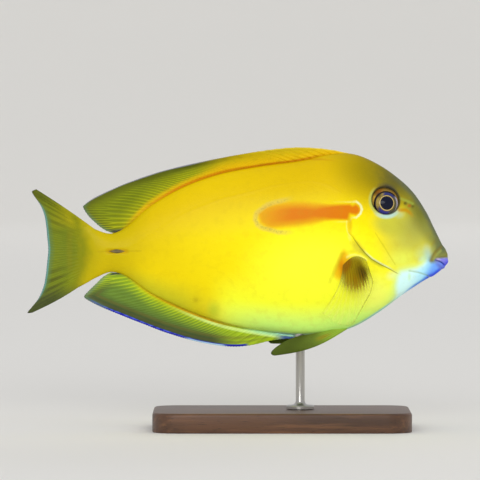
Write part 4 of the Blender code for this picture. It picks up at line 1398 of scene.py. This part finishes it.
@dataclass
class PelvicFin(FinSheet):
    """A pelvic fin, swept back under the belly."""

    side: Side = Side.RIGHT
    # How steeply it hangs, in degrees.
    droop: float = 0.0
    root: Place = (39.6, -28.0)
    root_out: float = 2.0
    # Each ray's tip: along the fin from its root, and across it towards the belly.
    tips: tuple[tuple[float, ...], ...] = (
        (27.9, -0.9), (28.7, -0.4), (28.9, 0.5), (27.6, 1.4), (25.0, 2.3), (22.0, 2.9), (18.6, 3.1))
    tip_steps: int = 6
    back_root: Place = (6.0, 1.4)
    leading_bulge: float = 2.0
    # How far it swings out, in degrees, and how far it leans out for each millimetre of its width.
    splay: float = 14.0
    lean: float = 0.35

    def middle(self, across: np.ndarray, share: np.ndarray) -> np.ndarray:
        """Lays out the fin's middle surface, turned down and out from the breast.

        Args:
            across: The columns' places across the fin.
            share: The rows' places along the rays.

        Returns:
            The surface, in columns and rows.
        """
        roots = tuple(reach * across for reach in self.back_root)
        length, width = np.moveaxis(draw_rays(roots, self.read_tips(across), share), 2, 0)
        width = width - self.leading_bulge * (1 - across)[:, None] * np.sin(math.pi * share)[None, :]
        droop, splay = math.radians(self.droop), math.radians(self.splay)
        x = self.root[0] - length * math.cos(droop) - width * math.sin(droop)
        z = self.root[1] - length * math.sin(droop) + width * math.cos(droop)
        y = self.root_out + length * math.sin(splay) - width * self.lean
        return np.stack([x, y * self.side.value, z], axis=2)


# The pectoral fins' clear membrane, and where it is more solid and by how much.
PECTORAL_CLEAR = 0.05
PECTORAL_SOLID = (
    ((Fade("beam", 0.4, 0.9),), 0.07),
    ((Oval((41.3, -6.2), (6.5, 8.0), 0.0, 0.5),), 0.9),
    ((Fade("beam", 0.2, 0.9), Oval((41.8, -10.0), (7.0, 5.6), 0.0, 0.3)), 0.6),
    ((Fade("share", 0.945, 0.965), Fade("across", 0.7, 0.2)), 0.26),
    ((Fade("across", 0.04, 0.01), Fade("share", 0.2, 0.4)), 0.4),
    ((Fade("across", 0.96, 0.99), Fade("share", 0.2, 0.4), Fade("share", 0.95, 0.6)), 0.25),
)
# Faint streaks along every fin, and the fine relief of its skin.
FIN_MOTTLING = Marking("#3c4210", (Blotches(1.1, 0.6, 0.12, (3.0, 1.0)),), 0.12)
FIN_GRAIN, FIN_RELIEF = 0.35, 0.03


class FinFinish(Enum):
    """The fins' finishes: thin skin between bony rays, with a dull sheen."""

    DORSAL = ("dorsal_membrane", "#76820f", (
        Marking("#565c18", (Fade("margin", 4.4, 0.2),), 0.8),
        Marking("#9ea20c", (Fade("out", 9.0, 2.0), Fade("margin", 0.5, 3.0),
                            Fade("along", -50.0, -38.0)), 0.85),
        Marking("#bca206", (Fade("along", -18.0, 6.0),)),
        Marking("#cfb304", (Fade("along", 8.0, 28.0),)),
        Marking("#4c5410", (Fade("crest", 0.5, 0.1), Fade("along", 8.0, -12.0)), 0.3),
        Marking("#c0c018", (Fade("crest", 0.2, 0.9), Fade("out", 6.5, 1.5)), 0.6),
        Marking("#98a014", (Fade("crest", 0.2, 0.9), Fade("margin", 0.6, 3.0)), 0.3),
        Marking("#b09004", (Fade("beam", 0.5, 0.1), Fade("along", 0.0, 16.0)), 0.4),
        Marking("#b09a10", (Fade("margin", 2.6, 0.4), Fade("along", 6.0, 16.0)), 0.6),
        Marking("#d2b004", (Fade("out", 5.0, 2.2), Fade("along", -16.0, -4.0)), 0.8),
        Marking("#dcb404", (Fade("out", 2.9, 1.1), Fade("along", -42.0, -34.0)), 0.8),
        Marking("#a48c04", (Fade("out", 0.7, 0.2), Fade("along", -32.0, -40.0)), 0.7),
        Marking("#c88400", (Fade("out", 1.3, 0.4), Fade("along", -42.0, -20.0), Fade("along", 8.0, -6.0))),
        Marking("#bc7800", (Fade("out", 0.9, 0.3), Fade("along", -8.0, 4.0),
                            Fade("along", 36.0, 22.0)), 0.95),
        Marking("#a8a6c4", (Fade("margin", 0.5, 0.1), Fade("along", 0.0, -20.0)), 0.6),
        Marking("#e6d24c", (Fade("margin", 0.7, 0.1), Fade("along", 2.0, 14.0)), 0.6),
        Marking("#5c7c50", (Fade("margin", 1.6, 0.4), Fade("along", -43.0, -46.0),
                            Fade("out", 9.0, 6.0)), 0.6),
        Marking("#222c40", (Fade("across", 0.983, 0.994), Fade("share", 0.95, 0.75)), 0.85),
    ))
    ANAL = ("anal_membrane", "#6a8832", (
        Marking("#3e4932", (Fade("margin", 6.2, 1.5),), 0.95),
        Marking("#9aba26", (Fade("out", 6.2, 1.2),), 0.9),
        Marking("#acc822", (Fade("along", -10.0, 4.0),), 0.85),
        Marking("#4e6218", (Fade("crest", 0.5, 0.1), Fade("along", 2.0, -12.0)), 0.3),
        Marking("#c2d020", (Fade("crest", 0.2, 0.9), Fade("out", 6.5, 1.5), Fade("along", 2.0, -12.0)), 0.6),
        Marking("#6c8414", (Fade("beam", 0.7, 0.1), Fade("along", -8.0, 2.0)), 0.35),
        Marking("#6c622c", (Fade("margin", 4.0, 3.4), Fade("margin", 2.4, 3.0),
                            Fade("level", -13.4, -15.6)), 0.4),
        Marking("#605a30", (Fade("margin", 2.2, 1.8), Fade("margin", 1.1, 1.5),
                            Fade("level", -14.6, -17.0)), 0.35),
        Marking("#1a1fa2", (Fade("margin", 0.95, 0.7), Fade("level", -16.6, -17.4), Fade("along", 4.6, 2.6),
                            Fade("along", -53.2, -51.6))),
        Marking("#5a6ae4", (Fade("margin", 0.95, 0.7), Fade("margin", 0.35, 0.6),
                            Blotches(0.8, 0.5, 0.1, (2.5, 1.0)), Fade("level", -18.0, -19.5),
                            Fade("along", -10.0, -20.0)), 0.8),
        # Painted highlight along the blue margin
        Marking("#b9e0f4", (Fade("margin", 0.7, 0.4), Fade("along", -20.0, -16.0),
                            Fade("along", -3.0, -6.0)), 0.85),
        Marking("#c4cc10", (Fade("out", 2.6, 0.6), Fade("along", -8.0, -18.0),
                            Fade("along", -40.0, -34.0)), 0.75),
        Marking("#d8f488", (Fade("out", 2.0, 1.3), Fade("out", 0.4, 0.7), Fade("along", -26.0, -8.0)), 0.9),
        Marking("#cc9c08", (Fade("out", 0.9, 0.4), Fade("along", 2.0, -10.0),
                            Fade("along", -46.0, -20.0)), 0.8),
        Marking("#b4ecb4", (Fade("out", 1.6, 0.6), Fade("along", 0.0, 9.0)), 0.8),
        Marking("#b4f0ec", (Fade("out", 0.5, 0.2), Fade("along", 12.0, 16.0)), 0.9),
        Marking("#1c3a9c", (Fade("out", 0.4, 0.9), Fade("along", 12.5, 17.5)), 0.9),
        Marking("#66806c", (Fade("margin", 1.8, 0.3), Fade("along", -44.0, -49.0)), 0.6),
        Marking("#222c40", (Fade("across", 0.983, 0.994), Fade("share", 0.95, 0.75)), 0.85),
    ))
    TAIL = ("tail_membrane", "#f0d404", (
        *TAIL_ROOT,
        Marking("#a69c0e", (Fade("level", 6.0, 11.0), Fade("along", -70.0, -58.0),
                            Fade("share", 0.3, 0.5)), 0.8),
        Marking("#7e8a18", (Fade("level", -6.0, -10.0), Fade("along", -66.0, -58.0),
                            Fade("share", 0.3, 0.5)), 0.7),
        Marking("#8a8010", (Fade("along", -61.5, -60.0), Fade("along", -58.0, -59.5),
                            Fade("level", 9.0, 5.0), Fade("level", -9.0, -5.0)), 0.35),
        Marking("#8c8e1c", (Fade("crest", 0.2, 0.9), Fade("share", 0.35, 0.8)), 0.3),
        Marking("#565a12", (Fade("beam", 0.7, 0.1), Fade("level", 3.0, 10.0),
                            Fade("share", 0.4, 0.8)), 0.55),
        Marking("#4c5118", (Fade("beam", 0.7, 0.1), Fade("level", -3.0, -10.0),
                            Fade("share", 0.4, 0.8)), 0.75),
        Marking("#434a30", (Fade("level", -11.0, -19.0),), 0.8),
        Marking("#565a1c", (Fade("level", 15.0, 20.5),), 0.7),
        Marking("#5c7a46", (Fade("margin", 3.0, 0.6), Fade("level", 18.0, 13.0),
                            Fade("level", -18.0, -13.0)), 0.8),
        Marking("#6a9c96", (Fade("margin", 1.0, 0.4), Fade("level", 19.0, 14.0),
                            Fade("level", -20.0, -15.0)), 0.9),
    ))
    PECTORAL = ("pectoral_membrane", "#e6f45a", (
        Marking("#f4f27c", (Fade("beam", 0.4, 0.9),), 0.5),
        Marking("#b4ac18", (Fade("across", 0.04, 0.01), Fade("share", 0.2, 0.4)), 0.8),
        Marking("#b4ac18", (Fade("across", 0.96, 0.99), Fade("share", 0.2, 0.4)), 0.8),
        Marking("#c89c04", (Oval((42.4, -12.4), (6.6, 5.0)),), 0.8),
        # Dark olive root of the fin, with painted shade over it
        Marking("#8c7806", (Oval((41.7, -6.6), (7.6, 8.2), 0.0, 0.35),)),
        Marking("#a4a61c", (Fade("share", 0.945, 0.965), Fade("across", 0.75, 0.45)), 0.85),
        Marking("#8a5a02", (Oval((38.8, -5.2), (2.4, 4.8), -20.0, 0.3),), 0.85),
        Marking("#a08804", (Oval((39.6, -9.6), (2.2, 5.0), -14.0),), 0.8),
        Marking("#a07004", (Oval((42.0, -10.2), (1.3, 2.6), 10.0),), 0.6),
        Marking("#d4cc20", (Oval((46.4, -4.2), (3.0, 3.4)),), 0.9),
        # Painted shade at the front of the fin's root
        Marking("#3e2e06", (Oval((44.5, -7.9), (3.0, 5.2), 20.0, 0.1),), 0.95),
        Marking("#866400", (Fade("beam", 0.2, 0.9), Oval((42.0, -10.2), (7.2, 5.6), 0.0, 0.3)), 0.7),
    ))
    PELVIC = ("pelvic_membrane", "#46541a", (
        Marking("#6a7e2c", (Fade("share", 0.8, 0.35),), 0.8),
        Marking("#98b83c", (Fade("share", 0.46, 0.14),), 0.95),
        Marking("#a4861a", (Fade("share", 0.42, 0.28), Fade("share", 0.1, 0.24), Fade("across", 0.7, 0.5),
                            Fade("across", 0.2, 0.4)), 0.55),
        Marking("#66742a", (Fade("crest", 0.2, 0.9),), 0.45),
        Marking("#6e7464", (Fade("across", 0.03, 0.0), Fade("share", 0.3, 0.6)), 0.7),
    ))

    def material(self) -> bpy.types.Material:
        """Paints a fin.

        Returns:
            The fin's material.
        """
        name, ground, markings = self.value
        paint = Paint(name, ground, roughness=0.45, ior=1.42, coat=0.03, coat_roughness=0.3, specular=0.1)
        for marking in markings:
            marking.lay(paint)
        if self is FinFinish.PECTORAL:
            paint.thin(PECTORAL_CLEAR, PECTORAL_SOLID)
        FIN_MOTTLING.lay(paint)
        paint.emboss(paint.grain(FIN_GRAIN), FIN_RELIEF)
        return paint.finish()


# The eyes and the blades

@dataclass
class Eye:
    """One eye ball with its ringed iris and dark pupil under a glossy cornea."""

    form: BodyForm
    place: EyePlace
    side: Side
    # The ball's radius, and half its depth along its axis.
    radius: float = 5.02
    depth: float = 2.9
    lens_bulge: float = 0.35
    lens_radius: float = 3.0
    # How far the iris's arcs lean forwards.
    lean: float = math.radians(18.0)
    segments: int = 128
    rings: int = 80

    def build(self) -> None:
        """Models the eye ball and dresses it."""
        word = self.side.name.lower()
        deselect_all()
        bpy.ops.mesh.primitive_uv_sphere_add(segments=self.segments, ring_count=self.rings,
                                             radius=self.radius)
        piece = name_new(f"eye_ball_{word}")
        ball = read_points(piece) * (1.0, 1.0, self.depth / self.radius)
        start, facing = self.place.axis(self.form, self.side)
        turn = np.array(facing.to_track_quat("Z", "Y").to_matrix())
        points = ball @ turn.T + np.array(start - facing * self.place.sink)
        from_pupil = self.place.off_axis(self.form, self.side, points, self.place.pupil_shift)
        outer = ball[:, 2:] > 0
        bulge = self.lens_bulge * (1 - ease(from_pupil / self.lens_radius))[:, None] * outer
        points = points + bulge * np.array(facing)
        place_points(piece, points)
        ahead = points[:, 0] - start.x - self.place.pupil_shift[0]
        above = points[:, 2] - start.z - self.place.pupil_shift[1]
        store(piece, {
            "pupil": from_pupil,
            "ball": self.place.off_axis(self.form, self.side, points),
            "rise": above * math.cos(self.lean) + ahead * math.sin(self.lean),
            "ahead": ahead * math.cos(self.lean) - above * math.sin(self.lean),
        })
        close_seams(piece)
        piece.data.shade_smooth()
        settle(piece, EyeFinish().material(), "eye", f"eye_{word}")


@dataclass(frozen=True)
class EyeFinish:
    """A living eye: a wet, mirror-smooth cornea over a metallic gold and blue iris."""

    # The tear film has water's refractive index.
    tear_film_ior: float = 1.34
    markings: tuple[Marking, ...] = (
        # Gold-brown outer ring, broad and bright behind, with painted shade over the top of the eye
        Marking("#8a6a22", (Fade("pupil", 4.35, 4.6),)),
        Marking("#c8a238", (Fade("pupil", 4.45, 4.75), Fade("ahead", -3.0, -4.2),
                            Fade("rise", 2.6, 0.8)), 0.9),
        Marking("#8c5318", (Oval((50.4, 21.0), (2.6, 2.2)),), 0.8),
        # Painted shade over the top of the eye
        Marking("#4c4220", (Fade("rise", 4.6, 5.6),), 0.7),
        Marking("#15120a", (Fade("pupil", 4.6, 4.35), Fade("pupil", 3.8, 4.1))),
        # Iris: blue-violet above and below, gold behind, and a painted highlight ahead, a pale lilac crescent
        # on its rim
        Marking("#24224e", (Fade("pupil", 4.05, 3.8),)),
        Marking("#30356e", (Fade("pupil", 4.0, 3.7), Fade("rise", 0.9, 2.4))),
        Marking("#363684", (Fade("pupil", 4.0, 3.7), Fade("rise", -0.9, -2.4))),
        Marking("#a48e36", (Fade("pupil", 4.0, 3.7), Fade("ahead", -1.3, -2.6)), 0.9),
        Marking("#5c5828", (Fade("pupil", 3.9, 3.6), Fade("ahead", 1.2, 2.4)), 0.8),
        # Painted highlight: a pale lilac crescent on the iris ahead of the pupil
        Marking("#bcb2bc", (Fade("pupil", 4.5, 4.25), Fade("pupil", 3.6, 3.9),
                            Fade("ahead", 1.8, 3.0)), 0.85),
        Marking("#1a1814", (Oval((50.5, 19.7), (1.7, 1.4), 40.0),), 0.8),
        Marking("#1a1814", (Oval((50.3, 14.9), (1.2, 1.4), 40.0),), 0.6),
        Marking("#6d5a2a", (Fade("pupil", 3.0, 2.8),), 0.9),
        Marking("#d2b872", (Fade("pupil", 2.76, 2.64),), 0.95),
        Marking("#0e1226", (Fade("pupil", 2.5, 2.38),)),
        Marking("#15130f", (Fade("ball", 4.78, 5.0),)),
        Marking("#100e18", (Blotches(0.25, 0.58, 0.1), Fade("pupil", 2.5, 2.9)), 0.3),
    )

    def material(self) -> bpy.types.Material:
        """Paints the eye.

        Returns:
            The eye's material.
        """
        paint = Paint("wet_eye", "#3a341c", roughness=0.3, ior=1.38, coat=0.4, coat_roughness=0.03,
                      specular=0.1)
        paint.shader.inputs["Coat IOR"].default_value = self.tear_film_ior
        for marking in self.markings:
            marking.lay(paint)
        return paint.finish()


@dataclass
class Scalpel:
    """The blade that lies folded in its slot on one side of the tail stalk."""

    form: BodyForm
    side: Side
    centre: Place = (-42.6, -0.4)
    half_length: float = 3.1
    half_height: float = 0.75
    half_depth: float = 0.62
    proud: float = 0.3
    # The share of its height that it loses towards its ends, and how late it does so.
    taper: float = 0.75
    taper_power: float = 1.6
    segments: int = 48
    rings: int = 32

    def build(self) -> None:
        """Models the blade and dresses it."""
        word = self.side.name.lower()
        deselect_all()
        bpy.ops.mesh.primitive_uv_sphere_add(segments=self.segments, ring_count=self.rings, radius=1.0)
        piece = name_new(f"scalpel_blade_{word}")
        bpy.ops.object.mode_set(mode="EDIT")
        bpy.ops.mesh.select_all(action="SELECT")
        bpy.ops.transform.resize(value=(self.half_length, self.half_depth, self.half_height))
        bpy.ops.object.mode_set(mode="OBJECT")
        points = read_points(piece)
        points[:, 2] *= 1 - np.abs(points[:, 0] / self.half_length) ** self.taper_power * self.taper
        x, z = self.centre
        depth = self.side.value * (float(self.form.flank(x, z)) + self.proud - self.half_depth)
        place_points(piece, points + (x, depth, z))
        store(piece, {"end": np.abs(points[:, 0])})
        close_seams(piece)
        piece.data.shade_smooth()
        settle(piece, ScalpelFinish().material(), "scalpel_bone", f"scalpel_{word}")


@dataclass(frozen=True)
class ScalpelFinish:
    """Horny bone in a thin sheath of skin: grey-brown, satin, with orange-brown ends."""

    markings: tuple[Marking, ...] = (
        Marking("#5a4e2c", (Fade("end", 1.8, 0.6),), 0.8),
        Marking("#b77f18", (Fade("end", 1.9, 2.9),), 0.9),
        Marking("#3c3018", (Blotches(0.5, 0.58, 0.1, (4.0, 1.0)),), 0.4),
    )
    # Fine lines along the bone, 0.3 mm wide and five times as long.
    line_width: float = 0.3
    line_height: float = 0.05
    line_stretch: Place = (5.0, 1.0)

    def material(self) -> bpy.types.Material:
        """Paints the blade.

        Returns:
            The blade's material.
        """
        paint = Paint("horny_bone", "#7b6a30", roughness=0.4, ior=1.5, coat=0.2, coat_roughness=0.2)
        for marking in self.markings:
            marking.lay(paint)
        paint.emboss(paint.grain(self.line_width, stretch=self.line_stretch), self.line_height)
        return paint.finish()


# The stand

@dataclass
class StandBase:
    """A flat wooden block with rounded corners and eased edges."""

    length: float = 92.0
    depth: float = 56.0
    thickness: float = 7.0
    corner: float = 9.0
    edge: float = 1.0
    foot_edge: float = 0.4
    # How many faces round off each of these.
    corner_faces: int = 16
    edge_faces: int = 6
    foot_faces: int = 2
    centre: float = 16.0

    def build(self) -> None:
        """Models the block and dresses it."""
        deselect_all()
        bpy.ops.mesh.primitive_cube_add(size=1.0)
        piece = name_new("base_block")
        size = (self.length * MM, self.depth * MM, self.thickness * MM)
        middle = size[2] / 2
        bpy.ops.object.mode_set(mode="EDIT")
        bpy.ops.mesh.select_all(action="SELECT")
        bpy.ops.transform.resize(value=size)
        bpy.ops.transform.translate(value=(self.centre * MM, 0.0, middle))
        self.bevel(piece, lambda one, other: abs(one.z - other.z) > middle, self.corner, self.corner_faces)
        self.bevel(piece, lambda one, other: min(one.z, other.z) > middle, self.edge, self.edge_faces)
        self.bevel(piece, lambda one, other: max(one.z, other.z) < middle, self.foot_edge, self.foot_faces)
        bpy.ops.object.shade_smooth_by_angle(angle=SHARP_ANGLE)
        settle(piece, WalnutFinish().material(), "stand_wood", "stand_base")

    def bevel(self, piece: bpy.types.Object, chosen: Callable[[Vector, Vector], bool], width: float,
              segments: int) -> None:
        """Rounds some edges.

        Args:
            piece: The block.
            chosen: Says of an edge's two ends whether it is rounded.
            width: How far the rounding reaches.
            segments: How many faces it has.
        """
        bpy.ops.object.mode_set(mode="EDIT")
        bpy.ops.mesh.select_mode(type="EDGE")
        bpy.ops.mesh.select_all(action="DESELECT")
        bpy.ops.object.mode_set(mode="OBJECT")
        for edge in piece.data.edges:
            edge.select = chosen(*(piece.data.vertices[i].co for i in edge.vertices))
        bpy.ops.object.mode_set(mode="EDIT")
        bpy.ops.mesh.bevel(offset=width * MM, segments=segments, affect="EDGES")
        bpy.ops.object.mode_set(mode="OBJECT")


@dataclass(frozen=True)
class WalnutFinish:
    """Oiled walnut: dark, straight-grained wood with open pores and a low sheen."""

    markings: tuple[Marking, ...] = (
        # Grain lines, dark and light
        Marking("#3a2415", (Blotches(5.0, 0.5, 0.2, (9.0, 1.0)),), 0.8),
        Marking("#7a5233", (Blotches(1.6, 0.6, 0.12, (14.0, 1.0)),), 0.5),
        # Open pores, about 0.4 mm wide and 5 mm long, which is coarser than real ones so that they show
        Marking("#24160c", (Blotches(0.4, 0.66, 0.04, (12.0, 1.0)),), 0.7),
    )
    pore_width: float = 0.4
    pore_height: float = 0.06
    pore_stretch: Place = (12.0, 1.0)

    def material(self) -> bpy.types.Material:
        """Paints the wood.

        Returns:
            The block's material.
        """
        paint = Paint("oiled_walnut", "#5a3a24", roughness=0.45, ior=1.5, coat=0.2, coat_roughness=0.3)
        for marking in self.markings:
            marking.lay(paint)
        paint.emboss(paint.grain(self.pore_width, stretch=self.pore_stretch), self.pore_height)
        return paint.finish()


@dataclass
class StandRod:
    """A turned steel rod from its foot on the block to the belly."""

    form: BodyForm
    place: float = 22.6
    # The foot's underside, which keeps the small gap over the block that the solids have.
    foot: float = 7.3
    sides: int = 64
    # Radius and height of each turned edge, first above the foot's underside, then above the belly.
    foot_edges: Line = ((5.0, 0.0), (5.0, 0.9), (4.85, 1.15), (4.6, 1.3), (3.2, 1.4), (2.3, 1.6),
                        (1.85, 2.0), (1.6, 2.7))
    head_edges: Line = ((1.6, -5.2), (1.75, -4.9), (1.75, -4.5), (1.6, -4.2), (1.7, -3.2), (2.1, -2.2),
                        (2.3, -1.5), (2.3, 0.6))

    def profile(self) -> Line:
        """Draws the rod's outline.

        Returns:
            Radius and height of each turned edge, from the foot up.
        """
        belly = float(self.form.measures(self.place)[1]) + AXIS_HEIGHT
        return (*((radius, self.foot + up) for radius, up in self.foot_edges),
                *((radius, belly + up) for radius, up in self.head_edges))

    def build(self) -> None:
        """Models the rod ring over ring and dresses it."""
        rings = self.profile()
        deselect_all()
        bpy.ops.mesh.primitive_circle_add(vertices=self.sides, radius=rings[0][0] * MM, fill_type="NGON",
                                          location=(self.place * MM, 0.0, rings[0][1] * MM))
        piece = name_new("turned_rod")
        bpy.ops.object.mode_set(mode="EDIT")
        bpy.ops.mesh.select_all(action="SELECT")
        for (radius, height), (wider, higher) in zip(rings, rings[1:]):
            rise = (0.0, 0.0, (higher - height) * MM)
            bpy.ops.mesh.extrude_region_move(TRANSFORM_OT_translate={"value": rise})
            bpy.ops.transform.resize(value=(wider / radius, wider / radius, 1.0))
        bpy.ops.object.mode_set(mode="OBJECT")
        bpy.ops.object.transform_apply(location=True, rotation=True, scale=True)
        close_seams(piece)
        bpy.ops.object.shade_smooth_by_angle(angle=SHARP_ANGLE)
        settle(piece, SteelFinish().material(), "stand_steel", "stand_rod")


@dataclass(frozen=True)
class SteelFinish:
    """Turned stainless steel: fine lathe lines round the rod stretch its highlights."""

    # Lathe lines, drawn coarser than real ones so that they show.
    line_size: float = 0.5
    line_detail: float = 3.0
    line_height: float = 0.01
    line_stretch: Place = (40.0, 0.3)

    def material(self) -> bpy.types.Material:
        """Paints the steel.

        Returns:
            The rod's material.
        """
        paint = Paint("turned_stainless_steel", "#b9b7b2", roughness=0.28, ior=1.5, metallic=1.0)
        paint.emboss(paint.grain(self.line_size, self.line_detail, self.line_stretch), self.line_height)
        return paint.finish()


# The studio

@dataclass(frozen=True)
class Lamp:
    """A soft round light, with its place and width in metres and its power in watts."""

    name: str
    place: tuple[float, float, float]
    width: float
    power: float
    # Whether glossy surfaces mirror it.
    mirrored: bool = False

    def hang(self, target: Vector) -> None:
        """Adds the lamp.

        Args:
            target: What it is aimed at.
        """
        deselect_all()
        bpy.ops.object.light_add(type="AREA", location=self.place)
        lamp = name_new(self.name)
        lamp.data.shape = "DISK"
        lamp.data.size = self.width
        lamp.data.energy = self.power
        aim = target - Vector(self.place)
        lamp.rotation_euler = aim.to_track_quat("-Z", "Y").to_euler()
        lamp.visible_camera = False
        lamp.visible_glossy = self.mirrored


@dataclass
class Studio:
    """Pale floor that curves up all round, soft lights and the camera."""

    # The floor, the cove and the camera's distance and clipping are in metres.
    floor_radius: float = 3.2
    cove_radius: float = 0.6
    floor_sides: int = 128
    cove_steps: int = 12
    lamps: tuple[Lamp, ...] = (
        Lamp("key_light", (-1.0, -4.7, 1.75), 2.2, 60.0, mirrored=True),
        Lamp("front_fill", (1.1, -4.8, 1.2), 2.0, 58.0),
        Lamp("low_fill", (0.5, -4.7, 0.95), 1.2, 50.0),
        Lamp("back_light", (1.1, 4.7, 1.75), 2.0, 38.0),
        Lamp("floor_light", (0.0, 0.0, 2.6), 2.4, 6.0),
    )
    # The lamps are aimed at the middle of the fish, in metres.
    target: tuple[float, float, float] = (0.01, 0.0, 0.064)
    # How bright the glow from all round is.
    glow: float = 0.66
    camera_distance: float = 2.0
    clip: Place = (0.05, 20.0)
    # How wide a view the camera takes in at the fish, and where its middle lies about the body axis.
    frame_width: float = 171.43
    frame_centre: Place = (1.07, 3.57)
    elevation: float = 1.5
    sensor: float = 36.0

    def floor(self) -> None:
        """Models the floor and its cove."""
        deselect_all()
        bpy.ops.mesh.primitive_circle_add(vertices=self.floor_sides, radius=self.floor_radius,
                                          fill_type="NGON")
        piece = name_new("studio_floor")
        bpy.ops.object.mode_set(mode="EDIT")
        bpy.ops.mesh.select_all(action="SELECT")
        bpy.ops.mesh.select_mode(type="EDGE")
        bpy.ops.mesh.region_to_loop()
        radius = self.floor_radius
        for step in range(self.cove_steps):
            low, high = (math.pi / 2 * (step + k) / self.cove_steps for k in (0, 1))
            wider = radius + self.cove_radius * (math.sin(high) - math.sin(low))
            rise = self.cove_radius * (math.cos(low) - math.cos(high))
            bpy.ops.mesh.extrude_edges_move(TRANSFORM_OT_translate={"value": (0.0, 0.0, rise)})
            bpy.ops.transform.resize(value=(wider / radius, wider / radius, 1.0))
            radius = wider
        bpy.ops.object.mode_set(mode="OBJECT")
        # The flat part keeps its own normal, so that the light falls evenly on it up to the cove.
        for face in piece.data.polygons:
            face.use_smooth = len(face.vertices) == 4
        # Matt paper shows soft shadows and next to no highlights.
        paint = Paint("matt_paper", "#e9e7e2", roughness=0.9, ior=1.45, specular=0.2)
        piece.data.materials.append(paint.finish())

    def light(self) -> None:
        """Hangs the lamps and adds a faint glow from all round."""
        for lamp in self.lamps:
            lamp.hang(Vector(self.target))
        world = bpy.data.worlds.new("soft_surround")
        world.use_nodes = True
        background = world.node_tree.nodes["Background"]
        background.inputs["Color"].default_value = linear("#f4f5f8")
        background.inputs["Strength"].default_value = self.glow
        bpy.context.scene.world = world
        bpy.context.scene.view_settings.view_transform = "Standard"

    def camera(self) -> None:
        """Places the camera level with the fish, a little above it."""
        deselect_all()
        rise = math.radians(self.elevation)
        aim = Vector((self.frame_centre[0] * MM, 0.0, (self.frame_centre[1] + AXIS_HEIGHT) * MM))
        back = Vector((0.0, -math.cos(rise), math.sin(rise)))
        bpy.ops.object.camera_add(location=aim + back * self.camera_distance)
        camera = bpy.context.active_object
        camera.rotation_euler = (-back).to_track_quat("-Z", "Y").to_euler()
        camera.data.sensor_width = self.sensor
        camera.data.lens = self.sensor * self.camera_distance / (self.frame_width * MM)
        camera.data.clip_start, camera.data.clip_end = self.clip
        bpy.context.scene.camera = camera

    def build(self) -> None:
        """Sets up the floor, the lamps and the camera."""
        self.floor()
        self.light()
        self.camera()
        log.info("studio: floor, %d lamps and camera", len(self.lamps))


# The whole model

# Each row: where a ray leaves the body, and the distance and height of its tip.
DORSAL_TIPS = ((42.4, 42.0, 34.1), (38.7, 34.6, 35.7), (34.2, 26.5, 36.6), (29.6, 18.5, 36.6),
               (22.5, 9.0, 35.5), (11.8, -4.0, 33.3), (1.1, -16.5, 30.7), (-9.6, -28.5, 27.7),
               (-18.2, -38.5, 24.3), (-22.6, -44.5, 21.8), (-27.5, -51.0, 18.7), (-31.0, -54.6, 16.2),
               (-32.6, -55.0, 15.0), (-34.6, -53.0, 12.0), (-36.8, -49.8, 8.9), (-38.4, -47.2, 7.0),
               (-39.5, -44.4, 5.9))
ANAL_TIPS = ((27.4, 27.0, -31.0), (22.0, 20.0, -31.6), (17.0, 12.6, -32.4), (13.6, 4.4, -34.2),
             (8.9, -3.6, -34.5), (1.1, -14.0, -32.9), (-7.9, -25.4, -29.6), (-15.0, -34.6, -26.1),
             (-21.1, -42.6, -22.9), (-25.7, -48.4, -20.5), (-30.0, -53.0, -18.2), (-32.0, -54.8, -16.7),
             (-34.2, -53.2, -14.7), (-36.8, -50.4, -11.9), (-38.4, -48.0, -9.6), (-39.5, -45.4, -8.0))
# Each row: the height of a ray's root, and the distance and height of its tip, from the lower lobe up.
TAIL_TIPS = ((-9.9, -73.3, -22.5), (-9.3, -75.0, -22.5), (-8.6, -73.4, -20.4), (-7.4, -71.0, -17.3),
             (-5.8, -69.3, -13.4), (-3.8, -68.5, -9.4), (-1.9, -68.0, -5.0), (0.0, -67.6, 0.0),
             (1.5, -67.9, 4.6), (3.0, -68.3, 8.8), (4.6, -69.0, 12.8), (6.0, -70.4, 16.2),
             (7.0, -72.6, 19.4), (7.5, -73.4, 21.0), (7.9, -71.8, 21.8))
# How steeply the pelvic fins hang, in degrees.
PELVIC_DROOP = {Side.RIGHT: 17.8, Side.LEFT: 10.3}


def build_fish() -> None:
    """Builds the fish, from its skin to its eyes and blades."""
    form, eye = BodyForm(), EyePlace()
    Skin(form, eye).build()
    dorsal = MedianFin("dorsal_sheet", ("dorsal_fin",), rays=24, spines=9, tips=DORSAL_TIPS, form=form)
    dorsal.build(FinFinish.DORSAL.material())
    anal = MedianFin("anal_sheet", ("anal_fin",), rays=23, spines=3, tips=ANAL_TIPS, form=form, above=False,
                     seed=2)
    anal.build(FinFinish.ANAL.material())
    tail = TailFin("tail_sheet", ("tail_fin_upper", "tail_fin_lower"), rays=16, tips=TAIL_TIPS, seed=3)
    tail.build(FinFinish.TAIL.material())
    membrane, pelvic_membrane = FinFinish.PECTORAL.material(), FinFinish.PELVIC.material()
    for side in Side:
        word = side.name.lower()
        pectoral = PectoralFin(f"pectoral_sheet_{word}", (f"pectoral_fin_{word}",), rays=12, form=form,
                               side=side, seed=5)
        pectoral.build(membrane)
        pelvic = PelvicFin(f"pelvic_sheet_{word}", (f"pelvic_fin_{word}",), rays=6, side=side,
                           droop=PELVIC_DROOP[side], seed=6)
        pelvic.build(pelvic_membrane)
        Eye(form, eye, side).build()
        Scalpel(form, side).build()


def main() -> None:
    """Builds the fish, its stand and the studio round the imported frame."""
    logging.basicConfig(level=logging.INFO, format="%(name)s: %(message)s")
    log.info("frame: %d nodes", len(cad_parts))
    build_fish()
    StandBase().build()
    StandRod(BodyForm()).build()
    Studio().build()


if __name__ == "__main__":
    main()
